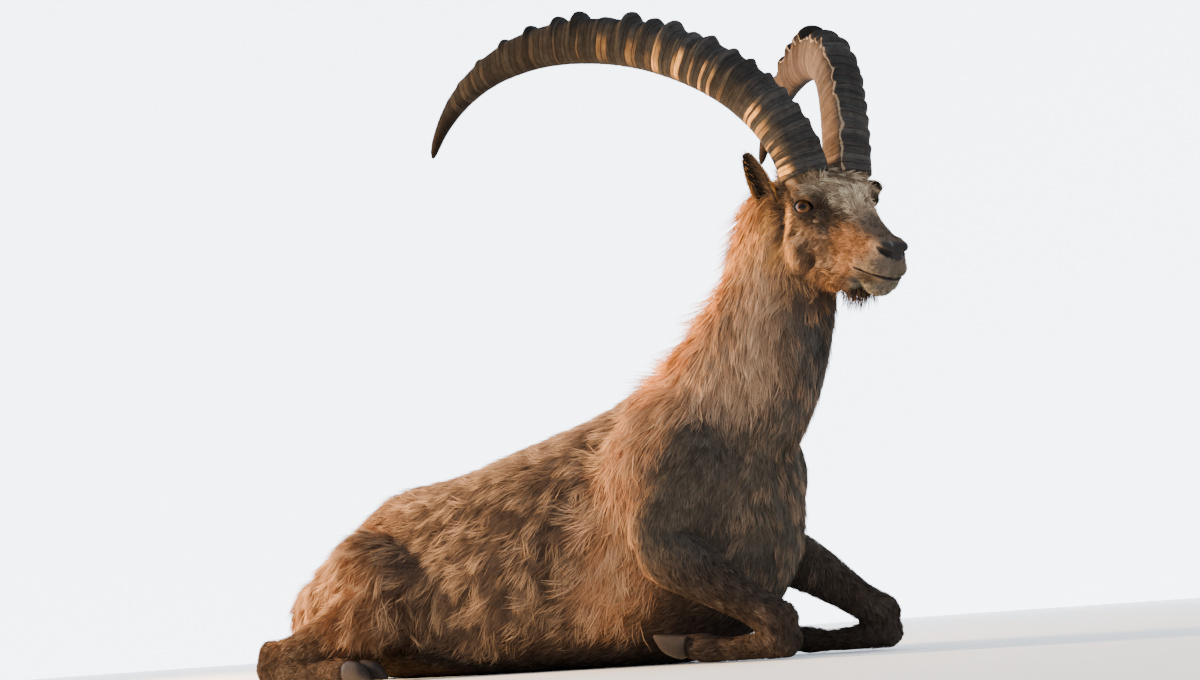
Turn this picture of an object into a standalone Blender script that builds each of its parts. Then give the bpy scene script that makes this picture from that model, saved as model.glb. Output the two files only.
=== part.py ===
"""Alpine ibex, an adult male at life size, lying on its brisket, head raised and turned to its right.

Metres, +Z up. The trunk points along +X and the animal's right side faces -Y. The coat's outer surface
is modelled, so short fur has no thickness of its own. Everything rests on flats at z = 0.
"""

import math
import random

import bmesh
import bpy
import numpy as np
from mathutils import Matrix, Vector
from mathutils.bvhtree import BVHTree

# ---------------------------------------------------------------- driving dimensions

GAP = 0.0003                     # clearance between touching nodes
CURVED_GAP = 0.0005              # the same where one node is cut to another's curved surface
SHARPEST_CORNER = 2.5            # how far a corner may run ahead of its faces when a surface is offset
SLIVER = 0.0001                  # edges shorter than this are welded after a cut
CAP_BULGE, CAP_SHRINK = 0.62, 0.72   # rounding of a limb's ends: how far out and how narrow the last ring is
NECK_CUT_POINT = Vector((0.262, 0.0, 0.398))
NECK_CUT_NORMAL = Vector((0.46, 0.0, 0.89))
HEAD_CUT_POINT = Vector((0.352, 0.010, 0.597))
HEAD_CUT_NORMAL = Vector((0.74, -0.20, 0.64))

# The head turns and dips about a point midway between the eyes.
HEAD_ORIGIN = Vector((0.4694, -0.0322, 0.607))
HEAD_YAW = math.radians(-20.3)   # to the animal's right
HEAD_PITCH = math.radians(20.6)  # nose down
HEAD_ROLL = math.radians(2.3)
HEAD_SCALE = 0.956

HORN_LENGTH = 0.850
HORN_SIZE = {"right": 1.0, "left": 0.940}   # the left horn is a little the smaller
HORN_RISE = math.radians(59.2)   # first direction of the horn above the backward axis of the skull
HORN_BEND = (4.05, -9.86, 11.34)  # curvature along the horn, 1/m: constant, linear and square terms
HORN_SPLAY = math.radians(41.7)  # outward swing of the horn's plane at its base
HORN_UNWIND = math.radians(-19.8)  # how far that plane swings back by the tip
HORN_CANT = math.radians(-15.8)  # lean of the horn's upward axis
HORN_ROOT = Vector((-0.031, 0.037, 0.047))

EYE_RADIUS = 0.0185
EYE_CENTRE = Vector((-0.002, 0.0475, 0.010))
EAR_LENGTH = 0.104
EAR_ROOT = Vector((-0.083, 0.050, -0.012))
EAR_AIM = {"right": Vector((-0.12, -0.46, 0.88)), "left": Vector((-0.06, 0.92, 0.37))}

SIDES = {"right": -1, "left": 1}


# ---------------------------------------------------------------- small tools

def clear_scene():
    for obj in list(bpy.data.objects):
        bpy.data.objects.remove(obj)


def coat(name, color, roughness=0.85):
    """A Principled BSDF of one colour."""
    material = bpy.data.materials.new(name)
    material.use_nodes = True
    shader = material.node_tree.nodes["Principled BSDF"]
    shader.inputs["Base Color"].default_value = (*color, 1.0)
    shader.inputs["Roughness"].default_value = roughness
    shader.inputs["Metallic"].default_value = 0.0
    return material


def add_object(name, mesh):
    obj = bpy.data.objects.new(name, mesh)
    bpy.context.scene.collection.objects.link(obj)
    return obj


def drop(*objects):
    for obj in objects:
        bpy.data.objects.remove(obj)


def bake(obj):
    """Replaces the object's mesh by the one its modifiers make."""
    graph = bpy.context.evaluated_depsgraph_get()
    graph.update()
    mesh = bpy.data.meshes.new_from_object(obj.evaluated_get(graph))
    obj.modifiers.clear()
    obj.data = mesh
    return obj


def spline(points, count):
    """Points of a Catmull-Rom curve through the rows of a table, evenly spaced in its parameter."""
    rows = np.array(points, float)
    rows = np.vstack([2 * rows[0] - rows[1], rows, 2 * rows[-1] - rows[-2]])
    spans = len(rows) - 3
    made = []
    for u in np.linspace(0, spans, count):
        i = min(int(u), spans - 1)
        t = u - i
        a, b, c, d = rows[i:i + 4]
        square = 2 * a - 5 * b + 4 * c - d
        cube = 3 * b - a - 3 * c + d
        made.append((2 * b + (c - a) * t + square * t ** 2 + cube * t ** 3) / 2)
    return np.array(made)


def loft(name, rings, tip=None):
    """A closed solid through rings of equal point counts, with fans at the ends, the last one at the tip."""
    bm = bmesh.new()
    rows = [[bm.verts.new(p) for p in ring] for ring in rings]
    count = len(rows[0])
    for low, high in zip(rows, rows[1:]):
        for i in range(count):
            j = (i + 1) % count
            bm.faces.new((low[i], low[j], high[j], high[i]))
    for row in (rows[0], rows[-1]):
        middle = tip if tip and row is rows[-1] else sum((v.co for v in row), Vector()) / count
        apex = bm.verts.new(middle)
        for i in range(count):
            bm.faces.new((row[i], row[(i + 1) % count], apex))
    bmesh.ops.recalc_face_normals(bm, faces=bm.faces)
    mesh = bpy.data.meshes.new(name)
    bm.to_mesh(mesh)
    bm.free()
    return add_object(name, mesh)


def ellipsoid(name, centre, radii, frame=None, segments=24, rings=14):
    bm = bmesh.new()
    bmesh.ops.create_uvsphere(bm, u_segments=segments, v_segments=rings, radius=1.0)
    turn = frame.to_4x4() if frame else Matrix.Identity(4)
    bmesh.ops.transform(
        bm, matrix=Matrix.Translation(centre) @ turn @ Matrix.Diagonal((*radii, 1.0)), verts=bm.verts
    )
    mesh = bpy.data.meshes.new(name)
    bm.to_mesh(mesh)
    bm.free()
    return add_object(name, mesh)


def section(centre, side, up, half_width, top, bottom, count=24, crown=1.0, keel=1.0):
    """One ring: an ellipse whose upper and lower halves have their own height and fullness."""
    ring = []
    for i in range(count):
        angle = 2 * math.pi * i / count
        across, along = math.cos(angle), math.sin(angle)
        if along >= 0:
            lift = top * abs(along) ** crown
        else:
            lift = -bottom * abs(along) ** keel
        ring.append(centre + side * (half_width * across) + up * lift)
    return ring


def limb(name, stations, up=Vector((0, 0, 1)), count=16, steps=4):
    """A tube through stations of (x, y, z, half width across, half depth), with rounded ends."""
    rows = spline(stations, (len(stations) - 1) * steps + 1)
    rings = []
    for i, row in enumerate(rows):
        ahead, behind = rows[min(i + 1, len(rows) - 1)], rows[max(i - 1, 0)]
        along = Vector(ahead[:3] - behind[:3]).normalized()
        side = along.cross(up).normalized()
        lift = side.cross(along).normalized()
        rings.append(section(Vector(row[:3]), side, lift, row[3], row[4], row[4], count))
    caps = []
    for end, neighbour in ((0, 1), (-1, -2)):
        centre = Vector(rows[end][:3])
        away = (centre - Vector(rows[neighbour][:3])).normalized()
        bulge = away * (min(rows[end][3:]) * CAP_BULGE)
        caps.append([centre + (p - centre) * CAP_SHRINK + bulge for p in rings[end]])
    return loft(name, [caps[0], *rings, caps[1]])


def join(name, pieces):
    """One object holding every piece's mesh, not yet fused."""
    bm = bmesh.new()
    for piece in pieces:
        bm.from_mesh(piece.data)
    mesh = bpy.data.meshes.new(name)
    bm.to_mesh(mesh)
    bm.free()
    drop(*pieces)
    return add_object(name, mesh)


def fuse(name, pieces, voxel, smooth, triangles):
    """Melts overlapping closed pieces into one smooth skin of about the given number of triangles."""
    obj = join(name, pieces)
    melt = obj.modifiers.new("melt", "REMESH")
    melt.mode = "VOXEL"
    melt.voxel_size = voxel
    soften = obj.modifiers.new("soften", "SMOOTH")
    soften.factor = 0.5
    soften.iterations = smooth
    bake(obj)
    thin = obj.modifiers.new("thin", "DECIMATE")
    thin.ratio = min(1.0, triangles / (2 * len(obj.data.polygons)))
    bake(obj)
    return keep_largest(obj)


def keep_largest(obj):
    """Leaves only the largest closed surface of the mesh."""
    bm = bmesh.new()
    bm.from_mesh(obj.data)
    unseen, islands = set(bm.verts), []
    while unseen:
        stack, island = [unseen.pop()], []
        while stack:
            vert = stack.pop()
            island.append(vert)
            for edge in vert.link_edges:
                other = edge.other_vert(vert)
                if other in unseen:
                    unseen.remove(other)
                    stack.append(other)
        islands.append(island)
    islands.sort(key=extent_of)
    for island in islands[:-1]:
        bmesh.ops.delete(bm, geom=island, context="VERTS")
    bm.to_mesh(obj.data)
    bm.free()
    return obj


def weld(obj):
    """Closes up the slivers that a cut leaves, where the surface stays closed."""
    bm = bmesh.new()
    bm.from_mesh(obj.data)
    bmesh.ops.remove_doubles(bm, verts=bm.verts, dist=SLIVER)
    bmesh.ops.dissolve_degenerate(bm, edges=bm.edges, dist=SLIVER)
    bmesh.ops.triangulate(bm, faces=bm.faces)
    if all(edge.is_manifold for edge in bm.edges) and all(vert.is_manifold for vert in bm.verts):
        bm.to_mesh(obj.data)
    bm.free()


def extent_of(verts):
    low = [min(v.co[i] for v in verts) for i in range(3)]
    high = [max(v.co[i] for v in verts) for i in range(3)]
    return math.dist(low, high)


def boolean(obj, others, operation, solver="EXACT"):
    group = bpy.data.collections.new("operands")
    for other in others:
        group.objects.link(other)
    change = obj.modifiers.new(operation.lower(), "BOOLEAN")
    change.operation = operation
    change.operand_type = "COLLECTION"
    change.collection = group
    change.solver = solver
    bake(obj)
    bpy.data.collections.remove(group)
    weld(obj)
    return keep_largest(obj)


def swell(obj, by):
    """Moves every face outwards by the distance, or inwards where it is negative."""
    bm = bmesh.new()
    bm.from_mesh(obj.data)
    bm.normal_update()
    moves = [v.normal * (by * min(v.calc_shell_factor(), SHARPEST_CORNER)) for v in bm.verts]
    for vert, move in zip(bm.verts, moves):
        vert.co += move
    bm.to_mesh(obj.data)
    bm.free()
    return obj


def copy_of(obj, name):
    return add_object(name, obj.data.copy())


def trim(obj, neighbours):
    """Cuts the object clear of its neighbours."""
    cutters = [swell(copy_of(n, "clearance"), CURVED_GAP) for n in neighbours]
    boolean(obj, cutters, "DIFFERENCE")
    drop(*cutters)
    return obj


def split_off(name, body, cutter):
    """Takes what lies inside the cutter out of the body as a node of its own, with the gap between them."""
    piece = copy_of(body, name)
    boolean(piece, [swell(cutter, -GAP / 2)], "INTERSECT")
    boolean(body, [swell(cutter, GAP)], "DIFFERENCE")
    drop(cutter)
    return piece


def slice_away(obj, point, normal):
    """Removes what lies on the side of the plane that its normal points to, and closes the cut."""
    bm = bmesh.new()
    bm.from_mesh(obj.data)
    whole = bm.verts[:] + bm.edges[:] + bm.faces[:]
    bmesh.ops.bisect_plane(bm, geom=whole, dist=1e-6, plane_co=point, plane_no=normal, clear_outer=True)
    bmesh.ops.holes_fill(bm, edges=[e for e in bm.edges if e.is_boundary])
    bmesh.ops.triangulate(bm, faces=[f for f in bm.faces if len(f.verts) > 4])
    bmesh.ops.recalc_face_normals(bm, faces=bm.faces)
    bm.to_mesh(obj.data)
    bm.free()
    return obj


def level(obj):
    """Gives the object a flat where it meets the floor."""
    if min(v.co.z for v in obj.data.vertices) < 0:
        slice_away(obj, Vector(), Vector((0, 0, -1)))
    return obj


def part_by_plane(name, body, point, normal):
    """Splits the body at a plane: the new node is the side that the normal points to."""
    normal = normal.normalized()
    piece = copy_of(body, name)
    slice_away(piece, point + normal * (GAP / 2), -normal)
    slice_away(body, point - normal * (GAP / 2), normal)
    keep_largest(piece)
    keep_largest(body)
    return piece


def surface_of(objects):
    points, faces = [], []
    for obj in objects:
        base = len(points)
        points += [v.co.copy() for v in obj.data.vertices]
        faces += [[base + i for i in p.vertices] for p in obj.data.polygons]
    return BVHTree.FromPolygons(points, faces)


# ---------------------------------------------------------------- trunk and limbs

# Trunk stations from the seat bones to the breast: x, height of back, height of belly, half width.
TRUNK = (
    (-0.690, 0.150, 0.082, 0.030),
    (-0.670, 0.176, 0.056, 0.060),
    (-0.632, 0.197, 0.030, 0.084),
    (-0.580, 0.230, 0.012, 0.100),
    (-0.520, 0.264, 0.000, 0.114),
    (-0.455, 0.303, -0.006, 0.128),
    (-0.390, 0.315, -0.010, 0.142),
    (-0.300, 0.320, -0.012, 0.160),
    (-0.200, 0.338, -0.012, 0.176),
    (-0.100, 0.360, -0.010, 0.180),
    (0.000, 0.381, -0.008, 0.168),
    (0.080, 0.408, -0.006, 0.148),
    (0.140, 0.429, 0.000, 0.130),
    (0.200, 0.420, 0.018, 0.118),
    (0.250, 0.400, 0.050, 0.104),
    (0.290, 0.368, 0.095, 0.086),
    (0.318, 0.330, 0.150, 0.062),
    (0.330, 0.300, 0.200, 0.034),
)
TRUNK_BULGE = 0.44   # share of the trunk's height at which it is widest
# Neck stations from inside the trunk to behind the skull: x, y, z, half width, half depth.
NECK = (
    (0.160, 0.000, 0.290, 0.098, 0.110),
    (0.236, 0.000, 0.356, 0.098, 0.118),
    (0.300, 0.000, 0.432, 0.084, 0.108),
    (0.342, -0.002, 0.510, 0.068, 0.092),
    (0.362, -0.006, 0.576, 0.060, 0.082),
    (0.384, -0.014, 0.632, 0.056, 0.070),
)
# Shoulder blade, upper arm and the muscle behind it, on one side: x, distance out, z, half width and depth.
BLADE = (
    (0.130, 0.060, 0.362, 0.036, 0.044),
    (0.190, 0.088, 0.325, 0.044, 0.058),
    (0.250, 0.098, 0.280, 0.042, 0.050),
)
UPPER_ARM = (
    (0.256, 0.098, 0.272, 0.040, 0.044),
    (0.222, 0.116, 0.226, 0.044, 0.052),
    (0.190, 0.130, 0.176, 0.042, 0.050),
)
TRICEPS_CENTRE, TRICEPS_RADII = Vector((0.165, 0.108, 0.265)), (0.085, 0.044, 0.100)
HAUNCH_CENTRE, HAUNCH_RADII = Vector((-0.448, 0.094, 0.122)), (0.138, 0.072, 0.100)
THIGH = (
    (-0.476, 0.100, 0.160, 0.052, 0.076),
    (-0.400, 0.140, 0.146, 0.057, 0.092),
    (-0.312, 0.168, 0.122, 0.046, 0.074),
)
FOREARM = (
    (0.196, 0.134, 0.160, 0.036, 0.042),
    (0.246, 0.136, 0.136, 0.037, 0.043),
    (0.305, 0.133, 0.102, 0.029, 0.034),
    (0.352, 0.130, 0.073, 0.025, 0.028),
    (0.390, 0.128, 0.050, 0.028, 0.031),
)
FORE_CANNON = (
    (0.396, 0.127, 0.028, 0.026, 0.026),
    (0.352, 0.126, 0.021, 0.020, 0.020),
    (0.300, 0.124, 0.018, 0.018, 0.018),
    (0.258, 0.122, 0.021, 0.023, 0.022),
    (0.228, 0.121, 0.026, 0.018, 0.018),
)
SHANK = (
    (-0.306, 0.172, 0.104, 0.040, 0.056),
    (-0.380, 0.188, 0.088, 0.042, 0.054),
    (-0.465, 0.198, 0.064, 0.029, 0.038),
    (-0.540, 0.198, 0.050, 0.021, 0.030),
    (-0.588, 0.194, 0.050, 0.019, 0.030),
)
HIND_CANNON = (
    (-0.584, 0.198, 0.034, 0.023, 0.032),
    (-0.520, 0.208, 0.020, 0.019, 0.022),
    (-0.440, 0.220, 0.017, 0.018, 0.018),
    (-0.372, 0.230, 0.020, 0.024, 0.022),
    (-0.336, 0.236, 0.018, 0.019, 0.018),
)
TAIL = (
    (-0.668, 0.0, 0.158, 0.026, 0.022),
    (-0.696, 0.0, 0.150, 0.026, 0.018),
    (-0.721, 0.0, 0.118, 0.024, 0.014),
    (-0.731, 0.0, 0.078, 0.012, 0.008),
)


def sided(stations, side):
    return [(x, y * side, z, *rest) for x, y, z, *rest in stations]


def outward(vector, side):
    return Vector((vector.x, vector.y * side, vector.z))


def trunk_form():
    rows = spline(TRUNK, (len(TRUNK) - 1) * 3 + 1)
    rings = []
    for x, top, bottom, half_width in rows:
        middle = bottom + TRUNK_BULGE * (top - bottom)
        rings.append(
            section(
                Vector((x, 0, middle)), Vector((0, 1, 0)), Vector((0, 0, 1)),
                half_width, top - middle, middle - bottom, count=32, crown=1.12, keel=0.62,
            )
        )
    return loft("trunk", rings)


def flesh_forms():
    forms = [trunk_form(), limb("neck form", NECK, up=Vector((-1, 0, 0)), count=28)]
    for side in SIDES.values():
        forms += [
            limb("blade", sided(BLADE, side)),
            limb("upper arm", sided(UPPER_ARM, side)),
            ellipsoid("triceps", outward(TRICEPS_CENTRE, side), TRICEPS_RADII),
            ellipsoid("haunch", outward(HAUNCH_CENTRE, side), HAUNCH_RADII),
            limb("thigh form", sided(THIGH, side)),
        ]
    return forms


# ---------------------------------------------------------------- head

# Skull stations in the head's own axes, from the back of the skull to the nose:
# x, top, bottom, half width, share of the height at which it is widest.
SKULL = (
    (-0.112, 0.040, -0.040, 0.040, 0.55),
    (-0.092, 0.056, -0.064, 0.054, 0.58),
    (-0.060, 0.064, -0.082, 0.058, 0.62),
    (-0.025, 0.064, -0.094, 0.058, 0.66),
    (0.008, 0.056, -0.104, 0.054, 0.68),
    (0.038, 0.041, -0.106, 0.045, 0.66),
    (0.068, 0.024, -0.101, 0.036, 0.60),
    (0.096, 0.010, -0.095, 0.029, 0.54),
    (0.122, -0.002, -0.092, 0.026, 0.48),
    (0.140, -0.011, -0.088, 0.025, 0.45),
    (0.152, -0.020, -0.081, 0.021, 0.45),
    (0.158, -0.030, -0.070, 0.013, 0.45),
)
# Swellings over the skull, on each side: name, centre, radii.
SWELLINGS = (
    ("brow", Vector((0.000, 0.047, 0.024)), (0.034, 0.0205, 0.017)),
    ("cheekbone", Vector((-0.002, 0.041, -0.018)), (0.046, 0.015, 0.014)),
    ("jaw muscle", Vector((-0.028, 0.036, -0.046)), (0.042, 0.023, 0.044)),
    ("jaw bone", Vector((0.030, 0.020, -0.088)), (0.070, 0.016, 0.018)),
    ("horn seat", Vector((-0.038, 0.034, 0.050)), (0.042, 0.034, 0.024)),
    ("nose side", Vector((0.131, 0.0125, -0.026)), (0.029, 0.013, 0.015)),
    ("upper lip", Vector((0.131, 0.014, -0.052)), (0.026, 0.015, 0.015)),
    ("lower lip", Vector((0.123, 0.011, -0.079)), (0.024, 0.013, 0.011)),
)
LID_BALL, LID_RADIUS = Vector((-0.002, 0.0465, 0.010)), 0.0230
LID_SLIT = (0.0182, 0.0116)          # half length and half height of the opening between the lids
LID_TILT = math.radians(10)          # rise of the opening's front corner, along the skull
LID_CORNERS, LID_PINCH = 14, 1.25    # points round the opening, sharpness of its ends
LID_RAISE = 0.0012                   # height of its middle over the eye's
LID_FLARE = ((0.004, 0.80), (0.040, 1.30))   # distance from the eye's centre, share of its size there
GAZE = Vector((0.34, 0.93, 0.10))    # the way the left eye looks, in the head's axes
MOUTH_CORNER, MOUTH_FRONT = (0.094, -0.062), (0.160, -0.069)   # x and z on the skull
MOUTH_GROOVE = (0.0040, 0.0019)      # how deep and how wide the line of the mouth is cut
MOUTH_FADE = 0.35                    # what is left of both at its corners
MOUTH_STEPS, MOUTH_TURN = 8, 90      # stations on each side of the front, and degrees that they turn through
MOUTH_PIVOT = 0.035                  # centre of that turn, ahead of the corner
MOUTH_DIP = 8                        # degrees past straight ahead that the front ones start from
MOUTH_SIDE = 0.62                    # share of the stations after which the line runs straight back
NOSTRIL = (
    (0.163, 0.0080, -0.036, 0.0022, 0.0018),
    (0.158, 0.0125, -0.034, 0.0055, 0.0046),
    (0.151, 0.0180, -0.030, 0.0062, 0.0050),
    (0.141, 0.0250, -0.026, 0.0034, 0.0026),
)


def head_frame():
    """The head's axes in the world: forward, left and up as columns."""
    turn = Matrix.Rotation(HEAD_YAW, 3, "Z") @ Matrix.Rotation(HEAD_PITCH, 3, "Y")
    return turn @ Matrix.Rotation(HEAD_ROLL, 3, "X")


def place_in_head(obj, scale=HEAD_SCALE):
    matrix = Matrix.Translation(HEAD_ORIGIN) @ (head_frame() * scale).to_4x4()
    obj.data.transform(matrix)
    return obj


def skull_form():
    rings = []
    for x, top, bottom, half_width, widest in spline(SKULL, (len(SKULL) - 1) * 3 + 1):
        middle = bottom + widest * (top - bottom)
        rings.append(
            section(
                Vector((x, 0, middle)), Vector((0, 1, 0)), Vector((0, 0, 1)),
                half_width, top - middle, middle - bottom, count=28, crown=0.85, keel=0.95,
            )
        )
    return loft("skull", rings)


def head_forms():
    forms = [skull_form()]
    for side in SIDES.values():
        for name, centre, radii in SWELLINGS:
            forms.append(ellipsoid(name, outward(centre, side), radii))
        forms.append(ellipsoid("lid ball", outward(LID_BALL, side), (LID_RADIUS,) * 3))
    forms.append(ellipsoid("chin", Vector((0.119, 0, -0.086)), (0.026, 0.017, 0.013)))
    return [place_in_head(form) for form in forms]


def lid_opening(side):
    """An almond-shaped prism through the lids, along the way the eye looks."""
    look = outward(GAZE, side).normalized()
    along = Vector((1, 0, math.tan(LID_TILT)))
    along = (along - look * along.dot(look)).normalized()
    lift = look.cross(along).normalized() * -side
    length, height = LID_SLIT
    outline = []
    for i in range(LID_CORNERS):
        angle = 2 * math.pi * i / LID_CORNERS
        pinch = abs(math.sin(angle)) ** LID_PINCH * math.copysign(1, math.sin(angle))
        outline.append(along * (length * math.cos(angle)) + lift * (height * pinch + LID_RAISE))
    centre = outward(EYE_CENTRE, side)
    rings = [[centre + look * far + p * wide for p in outline] for far, wide in LID_FLARE]
    return loft("lid opening", rings)


def head_cutters(head):
    """What is cut out of the head after it is fused: lid openings, nostrils and the line of the mouth."""
    cutters = []
    for side in SIDES.values():
        cutters.append(lid_opening(side))
        cutters.append(limb("nostril", sided(NOSTRIL, side), count=6, steps=1))
    cutters = [place_in_head(cutter) for cutter in cutters]
    cutters.append(mouth_cutter(head))
    return cutters


def mouth_cutter(head):
    """A thin tube laid along the skin from one corner of the mouth round the front to the other."""
    skin, axes = surface_of([head]), head_frame()
    (back, back_z), (front, front_z) = MOUTH_CORNER, MOUTH_FRONT
    depth, width = MOUTH_GROOVE
    stations = []
    for i in range(-MOUTH_STEPS, MOUTH_STEPS + 1):
        round_by = abs(i) / MOUTH_STEPS
        start = Vector((back + MOUTH_PIVOT, 0, front_z + (back_z - front_z) * round_by))
        turn = math.radians(MOUTH_TURN * round_by - MOUTH_DIP * (1 - round_by)) * (1 if i > 0 else -1)
        away = Vector((math.cos(turn), math.sin(turn), 0)) if i else Vector((1, 0, 0))
        if round_by > MOUTH_SIDE:
            start.x -= MOUTH_PIVOT * (round_by - MOUTH_SIDE) / (1 - MOUTH_SIDE)
            away = Vector((0, math.copysign(1, i), 0))
        hit = skin.ray_cast(HEAD_ORIGIN + axes @ (start * HEAD_SCALE), axes @ away)[0]
        fade = MOUTH_FADE if round_by == 1 else 1.0
        stations.append((*hit, depth * fade, width * fade))
    return limb("mouth line", stations, up=axes.col[2], count=6, steps=1)


def build_eye(label, side):
    eye = ellipsoid(f"eye_{label}", outward(EYE_CENTRE, side), (EYE_RADIUS,) * 3, segments=12, rings=8)
    return place_in_head(eye)


# Ear from root to tip: share of its length, half width, depth of the cup.
EAR = (
    (0.00, 0.013, 0.010),
    (0.18, 0.018, 0.015),
    (0.42, 0.021, 0.014),
    (0.68, 0.018, 0.010),
    (0.88, 0.011, 0.005),
    (1.00, 0.004, 0.002),
)
EAR_OPENING = Vector((0.55, 0.80, 0.05))     # the way the cup faces, on the left side
EAR_WALL, EAR_WALL_ROOT = 0.0030, 0.0035     # thickness at the tip, and what the root adds to it
EAR_FLOOR = 0.12                             # share of the length below which the cup is filled
EAR_FILLING = 0.006                          # how far the filling bulges
EAR_THICKENING = 0.0008                      # added in the middle of the cup, so that no wall is a sliver


def build_ear(label, side):
    """A leaf-shaped cup: each ring is a crescent, open to the side that faces forwards and outwards."""
    aim = EAR_AIM[label].normalized()
    opening = outward(EAR_OPENING, side)
    opening = (opening - aim * opening.dot(aim)).normalized()
    across = aim.cross(opening).normalized()
    turns = [math.pi * i / 6 for i in range(7)]
    rings = []
    for share, half_width, depth in spline(EAR, 10):
        centre = outward(EAR_ROOT, side) + aim * (EAR_LENGTH * share)
        wall = EAR_WALL + EAR_WALL_ROOT * (1 - share)
        lip = max(0.1, 1 - wall / half_width)
        outer, inner = [], []
        for turn in turns:
            rim = across * (half_width * math.cos(turn))
            outer.append(centre + rim - opening * (depth * math.sin(turn)))
            if share > EAR_FLOOR:
                sunk = (min(wall - depth, 0.0) + EAR_THICKENING) * math.sin(turn)
            else:
                sunk = EAR_FILLING * math.sin(turn)
            inner.append(centre + rim * lip + opening * sunk)
        rings.append(outer + inner[::-1])
    return place_in_head(loft(f"ear_{label}", rings))


# ---------------------------------------------------------------- horns

def horn_path(side, size, count):
    """Centre points of the horn in the head's own axes."""
    shares = np.linspace(0, 1, count)
    constant, linear, square = HORN_BEND
    turned = constant * shares + linear * shares ** 2 / 2 + square * shares ** 3 / 3
    angles = HORN_RISE - turned * HORN_LENGTH
    step = HORN_LENGTH * size / (count - 1)
    middle = (angles[1:] + angles[:-1]) / 2
    reach = np.concatenate([[0], np.cumsum(np.cos(middle)) * step])
    rise = np.concatenate([[0], np.cumsum(np.sin(middle)) * step])
    up = Vector((0, side * math.sin(HORN_CANT), math.cos(HORN_CANT)))
    points = []
    for share, back_by, up_by in zip(shares, reach, rise):
        splay = HORN_SPLAY + HORN_UNWIND * share
        back = Vector((-math.cos(splay), side * math.sin(splay), 0))
        root = outward(HORN_ROOT, side)
        points.append(root + back * back_by + up * up_by)
    return points


# Horn from root to tip: share of its length, half depth fore and aft, half width across.
HORN_GIRTH = (
    (0.00, 0.0345, 0.0300),
    (0.15, 0.0350, 0.0290),
    (0.35, 0.0350, 0.0275),
    (0.55, 0.0330, 0.0245),
    (0.70, 0.0280, 0.0205),
    (0.82, 0.0205, 0.0160),
    (0.91, 0.0145, 0.0115),
    (0.97, 0.0080, 0.0068),
    (1.00, 0.0020, 0.0020),
)
HORN_CORNERS = 10
HORN_SQUARENESS = 0.35           # how far the front of the section is filled out towards a square
SQUARE_PART = -0.1               # where the rounded back of the section ends, from -1 behind to 1 in front
# Knobs on the front of the horn: share of its length, height as a share of the usual.
HORN_KNOBS = (
    (0.050, 0.45), (0.082, 0.50), (0.113, 0.60), (0.147, 0.70), (0.182, 0.75), (0.220, 0.90), (0.255, 0.80),
    (0.300, 1.00), (0.335, 0.45), (0.372, 1.20), (0.410, 0.90), (0.455, 1.25), (0.560, 1.30), (0.604, 1.10),
    (0.665, 1.10), (0.725, 1.00), (0.788, 0.80), (0.845, 0.55), (0.885, 0.35),
)
KNOBS_END = 0.935                # share of the length where the smooth tip begins
KNOB_SPREAD = 0.011              # half length of a knob, as a share of the horn's length
KNOB_RISE, KNOB_WIDENING = 0.20, 0.07   # what a knob adds to the depth and to the width
KNOB_REACH = (0.25, 0.40)        # how far back each of these reaches round the section, on the same scale
KNOB_BEFORE, KNOB_AFTER = 0.28, 0.04    # rings in the dip before a knob and on it, as shares of the spacing
HORN_ROOT_STOPS = (0.0, 0.02)    # rings before the first knob, as shares of the length
HORN_TIP_STOPS = (0.95, 0.975, 0.992, 1.0)


def horn_section(centre, front, across, half_depth, half_width, knob):
    """One ring of the horn: rounded behind, squarer in front, where the knobs swell it."""
    ring = []
    for corner in range(HORN_CORNERS):
        angle = 2 * math.pi * (corner + 0.5) / HORN_CORNERS
        fore, wide = math.cos(angle), math.sin(angle)
        squared = 1.0 / max(abs(fore), abs(wide)) if fore > SQUARE_PART else 1.0
        depth = half_depth * (1 + (squared - 1) * HORN_SQUARENESS)
        depth *= 1 + knob * KNOB_RISE * max(0.0, fore + KNOB_REACH[0])
        width = half_width * (1 + (squared - 1) * HORN_SQUARENESS)
        width *= 1 + knob * KNOB_WIDENING * max(0.0, fore + KNOB_REACH[1])
        ring.append(centre + front * (fore * depth) + across * (wide * width))
    return ring


def build_horn(label, side):
    knobs, heights = np.array(HORN_KNOBS).T
    stops = [*HORN_ROOT_STOPS, *HORN_TIP_STOPS]
    for low, high in zip(knobs, [*knobs[1:], KNOBS_END]):
        stops += [low - (high - low) * KNOB_BEFORE, low + (high - low) * KNOB_AFTER]
    path = horn_path(side, HORN_SIZE[label], 401)
    girth = np.array(HORN_GIRTH)
    rings = []
    for stop in sorted(stops):
        place = stop * (len(path) - 1)
        i = min(int(place), len(path) - 2)
        centre = path[i].lerp(path[i + 1], place - i)
        along = (path[min(i + 3, len(path) - 1)] - path[max(i - 2, 0)]).normalized()
        front = Vector((0, 1, 0)).cross(along)
        front = (front - along * front.dot(along)).normalized()
        across = along.cross(front).normalized() * side
        half_depth, half_width = (np.interp(stop, girth[:, 0], girth[:, i]) for i in (1, 2))
        closeness = heights * np.exp(-(((knobs - stop) / KNOB_SPREAD) ** 2))
        knob = closeness.max() if stop < KNOBS_END else 0.0
        rings.append(horn_section(centre, front, across, half_depth, half_width, knob))
    return place_in_head(loft(f"horn_{label}", rings), scale=1.0)


# ---------------------------------------------------------------- hooves

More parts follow.
